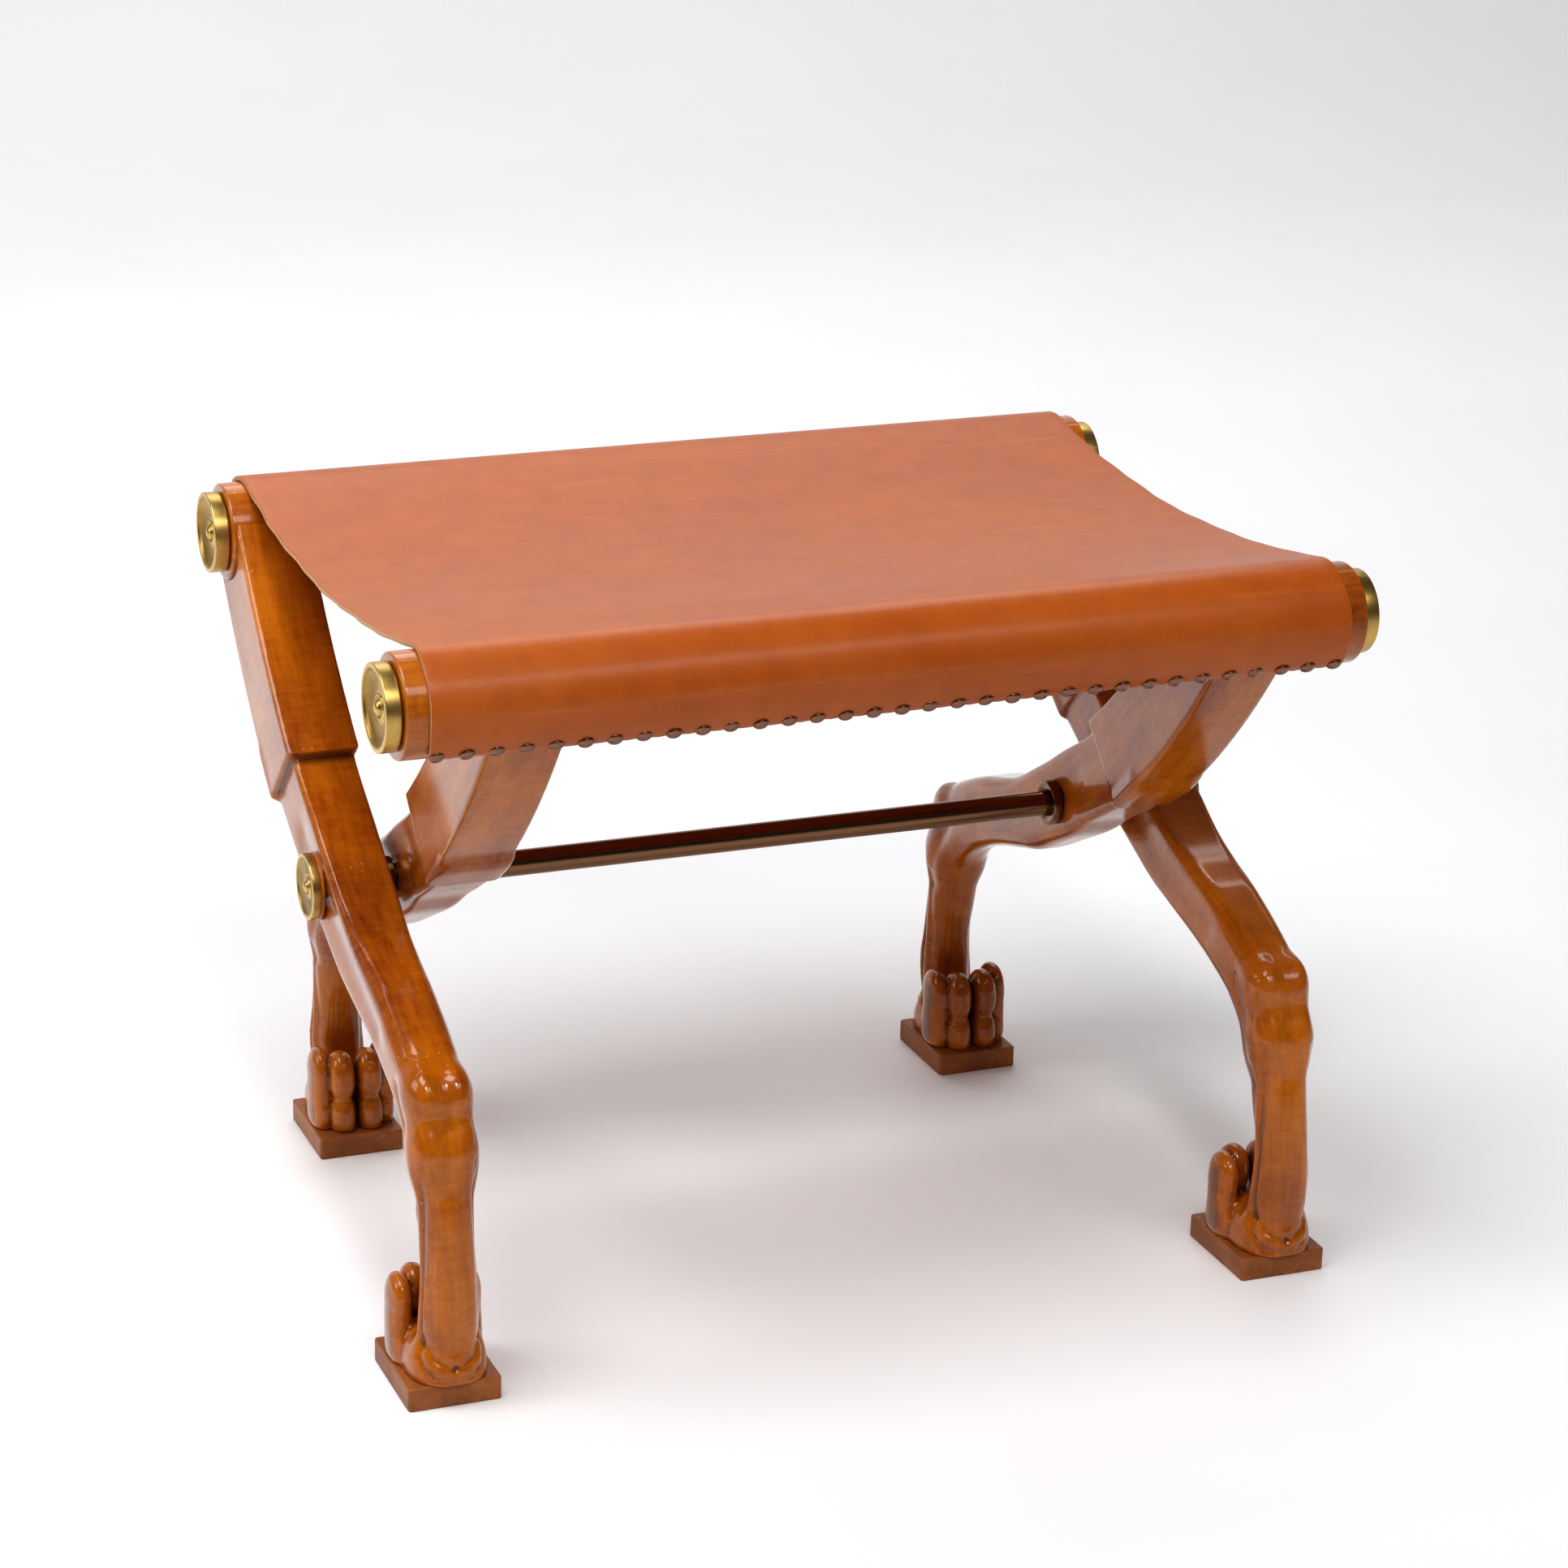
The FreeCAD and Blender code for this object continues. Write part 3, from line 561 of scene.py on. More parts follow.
# %% Side outline of a leg, in mm from the front (Y) and the floor (Z)
SHOULDER = (66.0, 291.0)
BLOCK_WAY = np.array([RAIL_Y / MM - SHOULDER[0], RAIL_Z / MM - SHOULDER[1]])
BLOCK_WAY = BLOCK_WAY / np.linalg.norm(BLOCK_WAY)
CARVED_LINE = [
    (75, 331), (45, 303), (5, 279), (-21, 263), (-61, 241), (-90, 230), (-120, 221), (-146, 211),
    (-168, 201), (-184, 190), (-192, 176), (-195, 163), (-200, 150), (-206, 130), (-212, 101),
    (-216, 66), (-213, 42), (-205, 20), (-198, 8), (-180, 8), (-183, 30), (-185, 50), (-186, 68),
    (-185, 86), (-180, 105), (-174, 124), (-165, 142), (-150, 156), (-132, 166), (-100, 178),
    (-63, 189), (-41, 196), (-15, 209), (17, 226), (42, 243), (66, 257), (87, 270), (112, 292),
]
BLOCK_BOW = 5.5
BLOCK_HALF_DEPTH = 29.5
BLOCK_MEETS_RAIL = (150, -54)


def smooth_line(points, steps=8):
    """A closed curve through the points."""
    line = []
    count = len(points)
    shares = np.linspace(0, 1, steps, endpoint=False)[:, None]
    for index in range(count):
        a, b, c, d = (np.array(points[(index + k) % count], float) for k in (-1, 0, 1, 2))
        line.append(0.5 * (2 * b + (c - a) * shares + (2 * a - 5 * b + 4 * c - d) * shares**2
                           + (3 * b - a - 3 * c + d) * shares**3))
    return np.concatenate(line)


def bowed_line(start, end, bow, steps=12):
    """Points of a long face that sags below its straight line."""
    shares = np.linspace(0, 1, steps)[:, None]
    across = np.array([BLOCK_WAY[1], -BLOCK_WAY[0]])
    return start + (end - start) * shares + across * bow * 4 * shares * (1 - shares)


def block_line():
    """The outline of the straight upper block, which meets the rail at two angles of its circle."""
    up = np.array([-BLOCK_WAY[1], BLOCK_WAY[0]])
    shoulder = np.array(SHOULDER)
    rail = np.array([RAIL_Y / MM, RAIL_Z / MM])
    radius = RAIL_RADIUS / MM
    turns = [math.radians(angle) for angle in BLOCK_MEETS_RAIL]
    meets = [rail + radius * np.array([math.cos(turn), math.sin(turn)]) for turn in turns]
    top = bowed_line(shoulder + up * BLOCK_HALF_DEPTH, meets[0], BLOCK_BOW)
    under = bowed_line(shoulder - up * BLOCK_HALF_DEPTH, meets[1], BLOCK_BOW)
    return np.concatenate([top, rail[None], under[::-1]])


print("outline points:", len(CARVED_LINE), "for the carved part,", len(block_line()), "for the block")

# %% [markdown]
# The field works on a grid of 1.35 mm cells. These are the few operations it needs: the distance to an
# outline, a plank with round edges cut to that outline, an egg shape, a soft join, and a soft groove.


# %% Field operations
CELL = 1.35


def outline_distance(line, y, z):
    """Signed distance to a closed outline, below zero inside."""
    best = np.full(np.broadcast(y, z).shape, 1e9, np.float32)
    inside = np.zeros(best.shape, bool)
    for (y0, z0), (y1, z1) in zip(line, np.roll(line, -1, axis=0)):
        dy, dz = y1 - y0, z1 - z0
        share = np.clip(((y - y0) * dy + (z - z0) * dz) / (dy * dy + dz * dz + 1e-9), 0, 1)
        best = np.minimum(best, (y - y0 - dy * share) ** 2 + (z - z0 - dz * share) ** 2)
        if z0 != z1:
            inside ^= ((z0 > z) != (z1 > z)) & (y < (z - z0) * dy / dz + y0)
    return np.where(inside, -1, 1) * np.sqrt(best)


def plank(profile, x, half_width, corner):
    """A profile made as thick as a plank, with round edges."""
    a = profile + corner
    b = np.abs(x) - half_width + corner
    return np.minimum(np.maximum(a, b), 0) + np.hypot(np.maximum(a, 0), np.maximum(b, 0)) - corner


def egg(grid, centre, radii, tip=0.0, full=2.0):
    """An ellipsoid, tipped about X by some degrees. Above 2, full makes it swell towards a box."""
    x, y, z = (axis - c for axis, c in zip(grid, centre))
    turn = math.radians(tip)
    y, z = y * math.cos(turn) + z * math.sin(turn), z * math.cos(turn) - y * math.sin(turn)
    parts = [np.abs(axis / r) for axis, r in zip((x, y, z), radii)]
    near = sum(p**full for p in parts) ** (1 / full) + 1e-6
    steep = np.sqrt(sum(((p / near) ** (full - 1) / r) ** 2 for p, r in zip(parts, radii))) + 1e-6
    return (near - 1) / steep


def join(first, second, soft):
    """Both forms, with a soft valley between them."""
    blend = np.maximum(soft - np.abs(first - second), 0) / soft
    return np.minimum(first, second) - blend * blend * soft / 4


def path_distance(axes, path):
    """The distance to a path of straight runs, in as many axes as are given."""
    best = None
    for start, end in zip(path, path[1:]):
        way = [b - a for a, b in zip(start, end)]
        length = sum(w * w for w in way)
        share = np.clip(sum((axis - a) * w for axis, a, w in zip(axes, start, way)) / length, 0, 1)
        gap = sum((axis - a - w * share) ** 2 for axis, a, w in zip(axes, start, way))
        best = gap if best is None else np.minimum(best, gap)
    return np.sqrt(best)


def gouge(field, axes, path, depth, width, where=1.0):
    """Cut a shallow groove along a path. With two axes, the path is drawn on that view of the leg."""
    return field + depth * where * np.exp(-((path_distance(axes, path) / width) ** 2))


print("field operations ready")

# %% [markdown]
# The surface comes from the field by the method called surface nets. Each cell that the surface crosses
# gets one point, the middle of its crossings, and each cut grid edge gets one four-sided face. Flat faces
# stay flat and curves come out smooth, with even quads all over.


# %% Surface from a field
def surface_net(field, low, pitch):
    """Points and quads of the zero surface of a field on a grid."""
    inside = field < 0
    cells, spots, quads = [], [], []
    for axis in range(3):
        near = tuple(slice(0, -1) if k == axis else slice(None) for k in range(3))
        far = tuple(slice(1, None) if k == axis else slice(None) for k in range(3))
        cross = inside[near] != inside[far]
        start = np.argwhere(cross)
        a, b = field[near][cross], field[far][cross]
        spot = start.astype(float)
        spot[:, axis] += a / (a - b)
        u, v = (axis + 1) % 3, (axis + 2) % 3
        corners = []
        for du, dv in ((0, 0), (1, 0), (1, 1), (0, 1)):
            cell = start.copy()
            cell[:, u] -= du
            cell[:, v] -= dv
            corners.append(np.ravel_multi_index(cell.T, field.shape))
            cells.append(corners[-1])
            spots.append(spot)
        quad = np.stack(corners, axis=1)
        outward = inside[near][cross]
        quads.append(np.where(outward[:, None], quad, quad[:, ::-1]))
    used, place = np.unique(np.concatenate(cells), return_inverse=True)
    spots = np.concatenate(spots)
    count = np.bincount(place)
    points = np.stack([np.bincount(place, weights=spots[:, k]) / count for k in range(3)], axis=1)
    faces = np.searchsorted(used, np.concatenate(quads))
    return points * pitch + np.array(low), faces


print("surface from a field ready")

# %% [markdown]
# Now the leg itself, with X = 0 in its middle and +X on the outside, all in mm. The plank part runs from the
# block to the heel, and its edges get rounder on the way down. Two pairs of bumps make the knee, four curled
# toes with two joints each make the paw, and gouged lines run down the shin and meet round the heel.


# %% Paw
TIP_RISE = 9.0
TIP_HALF = 16.0
TIP_TURN = 3
KNUCKLE_RISE = 35.5
KNUCKLE_HALF = 16.8
KNUCKLE_TURN = 8
KNUCKLE_BACK = 0.5
KNUCKLE_SHARE = 0.98
KNUCKLE_THINNER = 1.5
TOE_FULL = 2.3
OUTER_TOE = {"front": -152.5, "wide": 7.1, "deep": 15.5, "crease": 9}
MIDDLE_TOE = {"front": -144.3, "wide": 8.9, "deep": 14, "crease": 3}
TOES = ((-20.7, OUTER_TOE), (-9.1, MIDDLE_TOE), (9.1, MIDDLE_TOE), (20.7, OUTER_TOE))
TOE_GAP = 0.5
FOOT_BACK = -186
FOOT_RISE = 4
FOOT_HALF_SIZES = (23.5, 29, 24)
FOOT_FULL = 2.6
FOOT_JOIN = 2.5


def toe(grid, across, front, wide, deep, crease):
    """A curled toe: a tip that stands on the pad, and a knuckle of nearly the same width on top of it."""
    floor = PAD_TOP / MM
    tip_middle = (across, front - deep, floor + TIP_RISE)
    tip = egg(grid, tip_middle, (wide, deep, TIP_HALF), TIP_TURN, TOE_FULL)
    knuckle_middle = (across, front - deep + KNUCKLE_BACK, floor + KNUCKLE_RISE)
    knuckle_half_sizes = (wide * KNUCKLE_SHARE, deep - KNUCKLE_THINNER, KNUCKLE_HALF)
    knuckle = egg(grid, knuckle_middle, knuckle_half_sizes, KNUCKLE_TURN, TOE_FULL)
    return join(tip, knuckle, crease)


def paw(grid):
    """Foot and toes. The outer toes stand further back than the middle ones."""
    foot = egg(grid, (0, FOOT_BACK, PAD_TOP / MM + FOOT_RISE), FOOT_HALF_SIZES, 0, FOOT_FULL)
    toes = None
    for across, form in TOES:
        one = toe(grid, across, **form)
        toes = one if toes is None else join(toes, one, TOE_GAP)
    return join(foot, toes, FOOT_JOIN)


print(len(TOES), "toes")


# %% Carved part
# The plank at some heights: its height, half its width, and the round of its edges
LEG_SECTIONS = [
    (14, 20.0, 14), (40, 18.4, 14), (80, 16.8, 14), (110, 16.4, 14), (135, 17.2, 14.5), (150, 18.0, 15),
    (166, 17.6, 15), (182, 18.6, 15.5), (200, 19.0, 14), (220, 19.2, 10), (250, 19.25, 4.5),
    (300, 19.25, 2.5),
]
# The knee's bumps on one side: middle, half sizes, tip in degrees, and how soft it joins the leg
KNEE_BUMPS = [((9.4, -181, 180), (9.2, 14.5, 15), -30, 10), ((9.8, -190, 147), (8.8, 13.5, 19), 10, 12)]
# Gouged lines: on the side view as Y and Z, round the heel as X and Z, and over the knee as X, Y and Z
THIGH_HOLLOW = [(30, 262), (-50, 224), (-120, 198)]
KNEE_SIDE = [(-160, 178), (-174, 160), (-184, 138), (-188, 120)]
KNEE_MIDDLE = [(0, -196, 192), (0, -204, 176), (0, -208, 160), (0, -210, 140)]
HEEL_LINE = [(16, 146), (14, 110), (14, 66), (15.5, 42), (12, 30), (0, 24)]
HEEL_FROM = -196
HEEL_FADE = 6
SHIN_BACK = [(-197, 146), (-199, 110), (-201, 66), (-200, 46), (-203, 30), (-212, 18)]
SHIN_FRONT = [(-190, 132), (-192, 100), (-193, 66), (-190, 48), (-188, 36)]
SHIN_FROM = 150
SHIN_FADE = 20
PAW_JOIN = 5


def carved_part(x, y, z):
    """Thigh, knee and shin, with their gouged lines, and the paw."""
    heights, halves, rounds = zip(*LEG_SECTIONS)
    profile = outline_distance(smooth_line(CARVED_LINE), y, z)
    half = np.interp(z, heights, halves).astype(np.float32)
    corner = np.interp(z, heights, rounds).astype(np.float32)
    wood = plank(profile, x, half, corner)
    for side in (-1, 1):
        for (across, along, up), half_sizes, tip, soft in KNEE_BUMPS:
            wood = join(wood, egg((x, y, z), (side * across, along, up), half_sizes, tip), soft)
    wood = gouge(wood, (y, z), THIGH_HOLLOW, 1.8, 12)
    wood = gouge(wood, (y, z), KNEE_SIDE, 1.3, 4.5)
    wood = gouge(wood, (x, y, z), KNEE_MIDDLE, 1.0, 3.5)
    wood = join(wood, paw((x, y, z)), PAW_JOIN)
    at_heel = np.clip((HEEL_FROM - y) / HEEL_FADE, 0, 1)
    for side in (-1, 1):
        line = [(side * across, up) for across, up in HEEL_LINE]
        wood = gouge(wood, (x, z), line, 1.5, 2.2, at_heel)
    on_shin = np.clip((SHIN_FROM - z) / SHIN_FADE, 0, 1)
    wood = gouge(wood, (y, z), SHIN_BACK, 1.6, 2.2, on_shin)
    return gouge(wood, (y, z), SHIN_FRONT, 1.2, 2.4, on_shin)


print("carved part:", len(LEG_SECTIONS), "heights,", 2 * len(KNEE_BUMPS), "bumps in the knee")


# %% Upper block
LEG_HALF = 19.25
STEP_OUTSIDE = 4.5
STEP_INSIDE = 2.0
BLOCK_CORNER = 1.9


def upper_block(x, y, z):
    """The straight block, wider than the carved part by a step on each face."""
    middle = x - (STEP_OUTSIDE - STEP_INSIDE) / 2
    half = LEG_HALF + (STEP_OUTSIDE + STEP_INSIDE) / 2
    return plank(outline_distance(block_line(), y, z), middle, half, BLOCK_CORNER)


print("upper block:", 2 * LEG_HALF + STEP_OUTSIDE + STEP_INSIDE, "mm wide")


# %% The whole leg's field
GRID_LOW = (-LEG_HALF - 10.0, -226.0, 8.0)
GRID_HIGH = (LEG_HALF + 10.0, 212.0, 436.0)
SHOULDER_CREASE = 0.8
UNDERSIDE_BLEND = 9.0
UNDERSIDE_FROM = 19
UNDERSIDE_FADE = 10
SADDLE_GAP = 0.05
BORE_PLAY = 0.1


def leg_field():
    """The whole leg's field: a crisp shoulder on the block's sides and top, a soft one on its underside."""
    axes = [np.arange(a, b, CELL, dtype=np.float32) for a, b in zip(GRID_LOW, GRID_HIGH)]
    x, y, z = np.meshgrid(*axes, indexing="ij", sparse=True)
    below = (SHOULDER[0] - y) * -BLOCK_WAY[1] + (SHOULDER[1] - z) * BLOCK_WAY[0]
    soft = SHOULDER_CREASE + UNDERSIDE_BLEND * np.clip((below - UNDERSIDE_FROM) / UNDERSIDE_FADE, 0, 1)
    wood = join(carved_part(x, y, z), upper_block(x, y, z), soft)
    saddle = np.hypot(y - RAIL_Y / MM, z - RAIL_Z / MM) - RAIL_RADIUS / MM - SADDLE_GAP
    bore = np.hypot(y, z - PIVOT_Z / MM) - ROD_RADIUS / MM - BORE_PLAY
    wood = np.maximum(wood, -saddle)
    wood = np.maximum(wood, -bore)
    return np.maximum(wood, PAD_TOP / MM - z).astype(np.float32)


leg_wood_field = leg_field()
print("field of", leg_wood_field.shape, "grid points")


# %% Surface of the leg
HOLLOW_REACH = 3
HOLLOW_LEAST = 0.08


def hollows(field, points):
    """How deep in a hollow each point lies: 0 on open wood, 1 in a tight groove."""
    steps = (-HOLLOW_REACH, HOLLOW_REACH)
    around = sum(np.roll(field, step, axis) for axis in range(3) for step in steps) / 6
    cells = np.rint((points - np.array(GRID_LOW)) / CELL).astype(int)
    return np.clip((field - around)[tuple(cells.T)] - HOLLOW_LEAST, 0, 1)


leg_points, leg_faces = surface_net(leg_wood_field, GRID_LOW, CELL)
# The groove depth below paints shade into the leg's grooves.
leg_hollow = hollows(leg_wood_field, leg_points)
print("one leg:", len(leg_points), "points,", len(leg_faces), "quads")

# %% [markdown]
# Every finished rigid piece takes the place of its CAD nodes and rides on one of the two frames of the X.
# One helper does both.


# %% Helper for finished pieces
def settle(piece, body, slot, *nodes):
    """Let a finished piece stand for its CAD nodes and ride on its body."""
    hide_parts(*nodes)
    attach(piece, body)


# %% [markdown]
# The grain attribute bends with the leg: its Y is the distance along the leg's middle line, its X the place
# across the plank and its Z the height above the middle line. The other three legs are mirror images. One
# that is mirrored a single time has its faces turned over, so that they still point outwards. Each leg gets
# its own stretch of grain.


# %% Four legs
SPINE = [(175, 400), (66, 291), (0, 243), (-60, 214), (-120, 194), (-165, 176), (-188, 150), (-196, 110),
         (-200, 60), (-196, 10)]


def along_spine(points):
    """For each point: across the plank, along the leg and above its middle line, in metres."""
    spine = np.array(SPINE, float)
    best = np.full(len(points), 1e9)
    found = np.zeros((len(points), 3))
    run = 0.0
    for a, b in zip(spine, spine[1:]):
        way = (b - a) / np.linalg.norm(b - a)
        length = np.linalg.norm(b - a)
        away = points[:, 1:] - a
        along = np.clip(away @ way, 0, length)
        gap = np.linalg.norm(away - along[:, None] * way, axis=1)
        height = away @ np.array([-way[1], way[0]])
        closer = gap < best
        best = np.where(closer, gap, best)
        found[closer] = np.stack([points[:, 0], run + along, height], axis=1)[closer]
        run += length
    return found * MM


leg_grain = along_spine(leg_points)
GRAIN_STEP_SIDE = 0.9
GRAIN_STEP_ROW = 0.4
GRAIN_STEP_UP = 0.2


def place_leg(name, side, row, out, body):
    """One leg: side is -1 or 1 for left or right, row -1 for a front rail's leg and 1 for a back rail's."""
    points = leg_points * MM
    points[:, 0] = side * (out + points[:, 0])
    points[:, 1] = row * points[:, 1]
    faces = leg_faces if side * row > 0 else leg_faces[:, ::-1]
    leg = new_mesh(name + "_carved", points, faces)
    attribute = leg.data.attributes.new("grain", "FLOAT_VECTOR", "POINT")
    stretch = np.array([0.0, GRAIN_STEP_SIDE * side + GRAIN_STEP_ROW * row, GRAIN_STEP_UP * row])
    attribute.data.foreach_set("vector", (leg_grain + stretch).astype(np.float32).ravel())
    # Groove depth of each point, which the finish uses to paint shade into the grooves.
    depth = leg.data.attributes.new("hollow", "FLOAT", "POINT")
    depth.data.foreach_set("value", leg_hollow.astype(np.float32))
    leg.data.materials.append(LEG_WOOD)
    settle(leg, body, "leg_wood", name)


for kind, row, out, body in (("outer", 1, LEG_OUT, "outer_frame"), ("inner", -1, LEG_IN, "inner_frame")):
    for side, where in ((1, "right"), (-1, "left")):
        place_leg(f"{kind}_leg_{where}", side, row, out, body)
print("four legs placed")

# %% [markdown]
# ## Foot pads
#
# Each paw stands on a small square block of darker wood. Its edges are eased and the corners a little
# rounder, so it is built from level rings of one rounded rectangle that step in at the top and bottom.


# %% Foot pads
PAD_CORNER = 2.2 * MM
PAD_EASE = 1.1 * MM
PAD_LEAST_CORNER = 0.2 * MM
PAD_STEPS = 4


def rounded_rectangle(low, high, inset):
    """Points of a rectangle with round corners, drawn in by an inset."""
    radius = max(PAD_CORNER - inset, PAD_LEAST_CORNER)
    points = []
    for quarter, (side_x, side_y) in enumerate(((1, 1), (-1, 1), (-1, -1), (1, -1))):
        hub_x = (high.x if side_x > 0 else low.x) - side_x * (inset + radius)
        hub_y = (high.y if side_y > 0 else low.y) - side_y * (inset + radius)
        for step in range(PAD_STEPS + 1):
            turn = math.radians(90 * (quarter + step / PAD_STEPS))
            points.append((hub_x + radius * math.cos(turn), hub_y + radius * math.sin(turn)))
    return points


def foot_pad(node, body):
    """One eased wooden pad where its CAD node stands."""
    low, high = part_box(node)
    rings = []
    for step in range(PAD_STEPS + 1):
        turn = math.radians(90 * step / PAD_STEPS)
        rings.insert(0, (low.z + PAD_EASE * (1 - math.sin(turn)), PAD_EASE * (1 - math.cos(turn))))
    rings += [(low.z + high.z - z, inset) for z, inset in rings[::-1]]
    points = []
    for z, inset in rings:
        points += [(x, y, z) for x, y in rounded_rectangle(low, high, inset)]
    around = len(points) // len(rings)
    faces = []
    for start in range(0, (len(rings) - 1) * around, around):
        for k in range(around):
            following = (k + 1) % around
            faces.append((start + k, start + following, start + around + following, start + around + k))
    faces.append(tuple(range(around))[::-1])
    faces.append(tuple(range((len(rings) - 1) * around, len(rings) * around)))
    pad = new_mesh(node + "_eased", points, faces)
    pad.data.materials.append(PAD_WOOD)
    weighted = pad.modifiers.new("even_shading", "WEIGHTED_NORMAL")
    weighted.keep_sharp = True
    settle(pad, body, "pad_wood", node)


for side in ("left", "right"):
    foot_pad(f"pad_front_{side}", "outer_frame")
    foot_pad(f"pad_back_{side}", "inner_frame")
print("four pads")

# %% [markdown]
# ## Turned pieces
#
# Rails, discs, screws, collars, washers and spacers were all made on a lathe, so one helper spins an
# outline about the X axis. An outline is a list of corners, each with its distance out along X and its
# radius, and a small round on every corner catches the light.


# %% Lathe
EASE_STEPS = 4
EASE_MOST = 0.45
ON_AXIS = 1e-6


def eased_outline(corners, ease):
    """The outline with each inner corner rounded off, over less than half of the runs beside it."""
    line = [corners[0]]
    for before, corner, after in zip(corners, corners[1:], corners[2:]):
        here = Vector(corner)
        to_before, to_after = Vector(before) - here, Vector(after) - here
        reach = min(ease, to_before.length * EASE_MOST, to_after.length * EASE_MOST)
        first = here + to_before.normalized() * reach
        last = here + to_after.normalized() * reach
        for step in range(EASE_STEPS + 1):
            share = step / EASE_STEPS
            line.append(tuple(first * (1 - share) ** 2 + here * 2 * share * (1 - share) + last * share**2))
    line.append(corners[-1])
    return line


def turn_outline(name, corners, place, side, material, ease=0.5, around=96):
    """Spin an outline in mm about the X axis through a place, facing left (-1) or right (1)."""
    line = eased_outline(corners, ease)
    points, faces, rings = [], [], []
    for out, radius in line:
        if radius < ON_AXIS:
            rings.append([len(points)])
            points.append((place[0] + side * out * MM, place[1], place[2]))
            continue
        rings.append(range(len(points), len(points) + around))
        for k in range(around):
            turn = 2 * math.pi * k / around
            points.append((place[0] + side * out * MM, place[1] + radius * MM * math.cos(turn),
                           place[2] + radius * MM * math.sin(turn)))
    closed = len(rings[0]) > 1 and len(rings[-1]) > 1
    pairs = list(zip(rings, rings[1:])) + ([(rings[-1], rings[0])] if closed else [])
    for low, high in pairs:
        for k in range(around):
            following = (k + 1) % around
            if len(low) == 1:
                faces.append((low[0], high[k], high[following]))
            elif len(high) == 1:
                faces.append((low[k], high[0], low[following]))
            else:
                faces.append((low[k], high[k], high[following], low[following]))
    piece = new_mesh(name, points, faces)
    shell = bmesh.new()
    shell.from_mesh(piece.data)
    bmesh.ops.recalc_face_normals(shell, faces=shell.faces)
    shell.to_mesh(piece.data)
    shell.free()
    piece.data.materials.append(material)
    return piece


def joined(name, pieces):
    """Several meshes as one object."""
    shell = bmesh.new()
    for piece in pieces:
        shell.from_mesh(piece.data)
    mesh = bpy.data.meshes.new(name)
    shell.to_mesh(mesh)
    shell.free()
    mesh.shade_smooth()
    mesh.materials.append(pieces[0].data.materials[0])
    whole = bpy.data.objects.new(name, mesh)
    bpy.context.scene.collection.objects.link(whole)
    for piece in pieces:
        bpy.data.objects.remove(piece)
    return whole


print("lathe ready")


# %% Rails
RAIL_EASE = 1.6
ROWS = ((1, "back", "outer_frame"), (-1, "front", "inner_frame"))
SIDES = ((-1, "left"), (1, "right"))
half = RAIL_HALF / MM
radius = RAIL_RADIUS / MM
rail_corners = [(-half, 0), (-half, radius), (half, radius), (half, 0)]
for row, label, body in ROWS:
    rail = turn_outline(f"{label}_rail_turned", rail_corners, (0, row * RAIL_Y, RAIL_Z), 1, RAIL_WOOD,
                        ease=RAIL_EASE, around=128)
    settle(rail, body, "leg_wood", f"{label}_rail")
print("two rails")

# %% [markdown]
# A rail disc has a thick rim, a dished face and a small raised ring round its screw. A low spigot on its back
# keeps it a millimetre off the rail's end. The screw's head is a plain dome. The pivot discs are smaller and
# thinner copies.


# %% Outlines of a disc and its screw, in mm
SCREW_BORE = 2.4
DISH_FLOOR = 0.60
RIM_INSIDE = 0.86
DISH_INWARDS = 0.36
ROUND_STEPS = 6
RING_RISE = 0.9
RING_OUTSIDE = 0.5
RING_INSIDE = 2.0
RING_FOOT = 2.4
HEAD_SHARE = 0.62
HEAD_RISE = 0.7
HEAD_SINK = 0.3
SHANK_DEPTH = 16
SHANK_RADIUS = 2.1


def disc_corners(radius, thickness, ring):
    """The outline of a disc from its hidden back round the rim and the dish to its screw's seat."""
    floor = thickness * DISH_FLOOR
    outside = [(0, SCREW_BORE), (0, radius), (thickness, radius), (thickness, radius * RIM_INSIDE)]
    dish = []
    for step in range(1, ROUND_STEPS + 1):
        turn = math.radians(90 * step / ROUND_STEPS)
        across = radius * (RIM_INSIDE - DISH_INWARDS * (1 - math.cos(turn)))
        dish.append((thickness - (thickness - floor) * math.sin(turn), across))
    top = floor + RING_RISE
    raised = [(floor, ring), (top, ring - RING_OUTSIDE), (top, ring - RING_INSIDE), (floor, ring - RING_FOOT)]
    return outside + dish + raised + [(floor, SCREW_BORE)]


def screw_corners(seat, head):
    """A shank and a domed head."""
    rise = head * HEAD_RISE
    turns = [math.radians(90 * step / ROUND_STEPS) for step in range(ROUND_STEPS)]
    dome = [(seat + rise * math.sin(turn), head * math.cos(turn)) for turn in turns]
    end, under = seat - SHANK_DEPTH, seat - HEAD_SINK
    shank = [(end, 0), (end, SHANK_RADIUS), (under, SHANK_RADIUS), (under, head)]
    return shank + dome + [(seat + rise, 0)]


def disc_set(name, radius, thickness, ring, place, side, material):
    """One disc and its screw."""
    disc = turn_outline(name, disc_corners(radius, thickness, ring), place, side, material, ease=0.7)
    screw = turn_outline(name + "_screw", screw_corners(thickness * DISH_FLOOR, ring * HEAD_SHARE), place,
                         side, material, ease=0.2, around=48)
    return disc, screw


print("a disc is an outline of", len(disc_corners(1, 1, 1)), "corners")


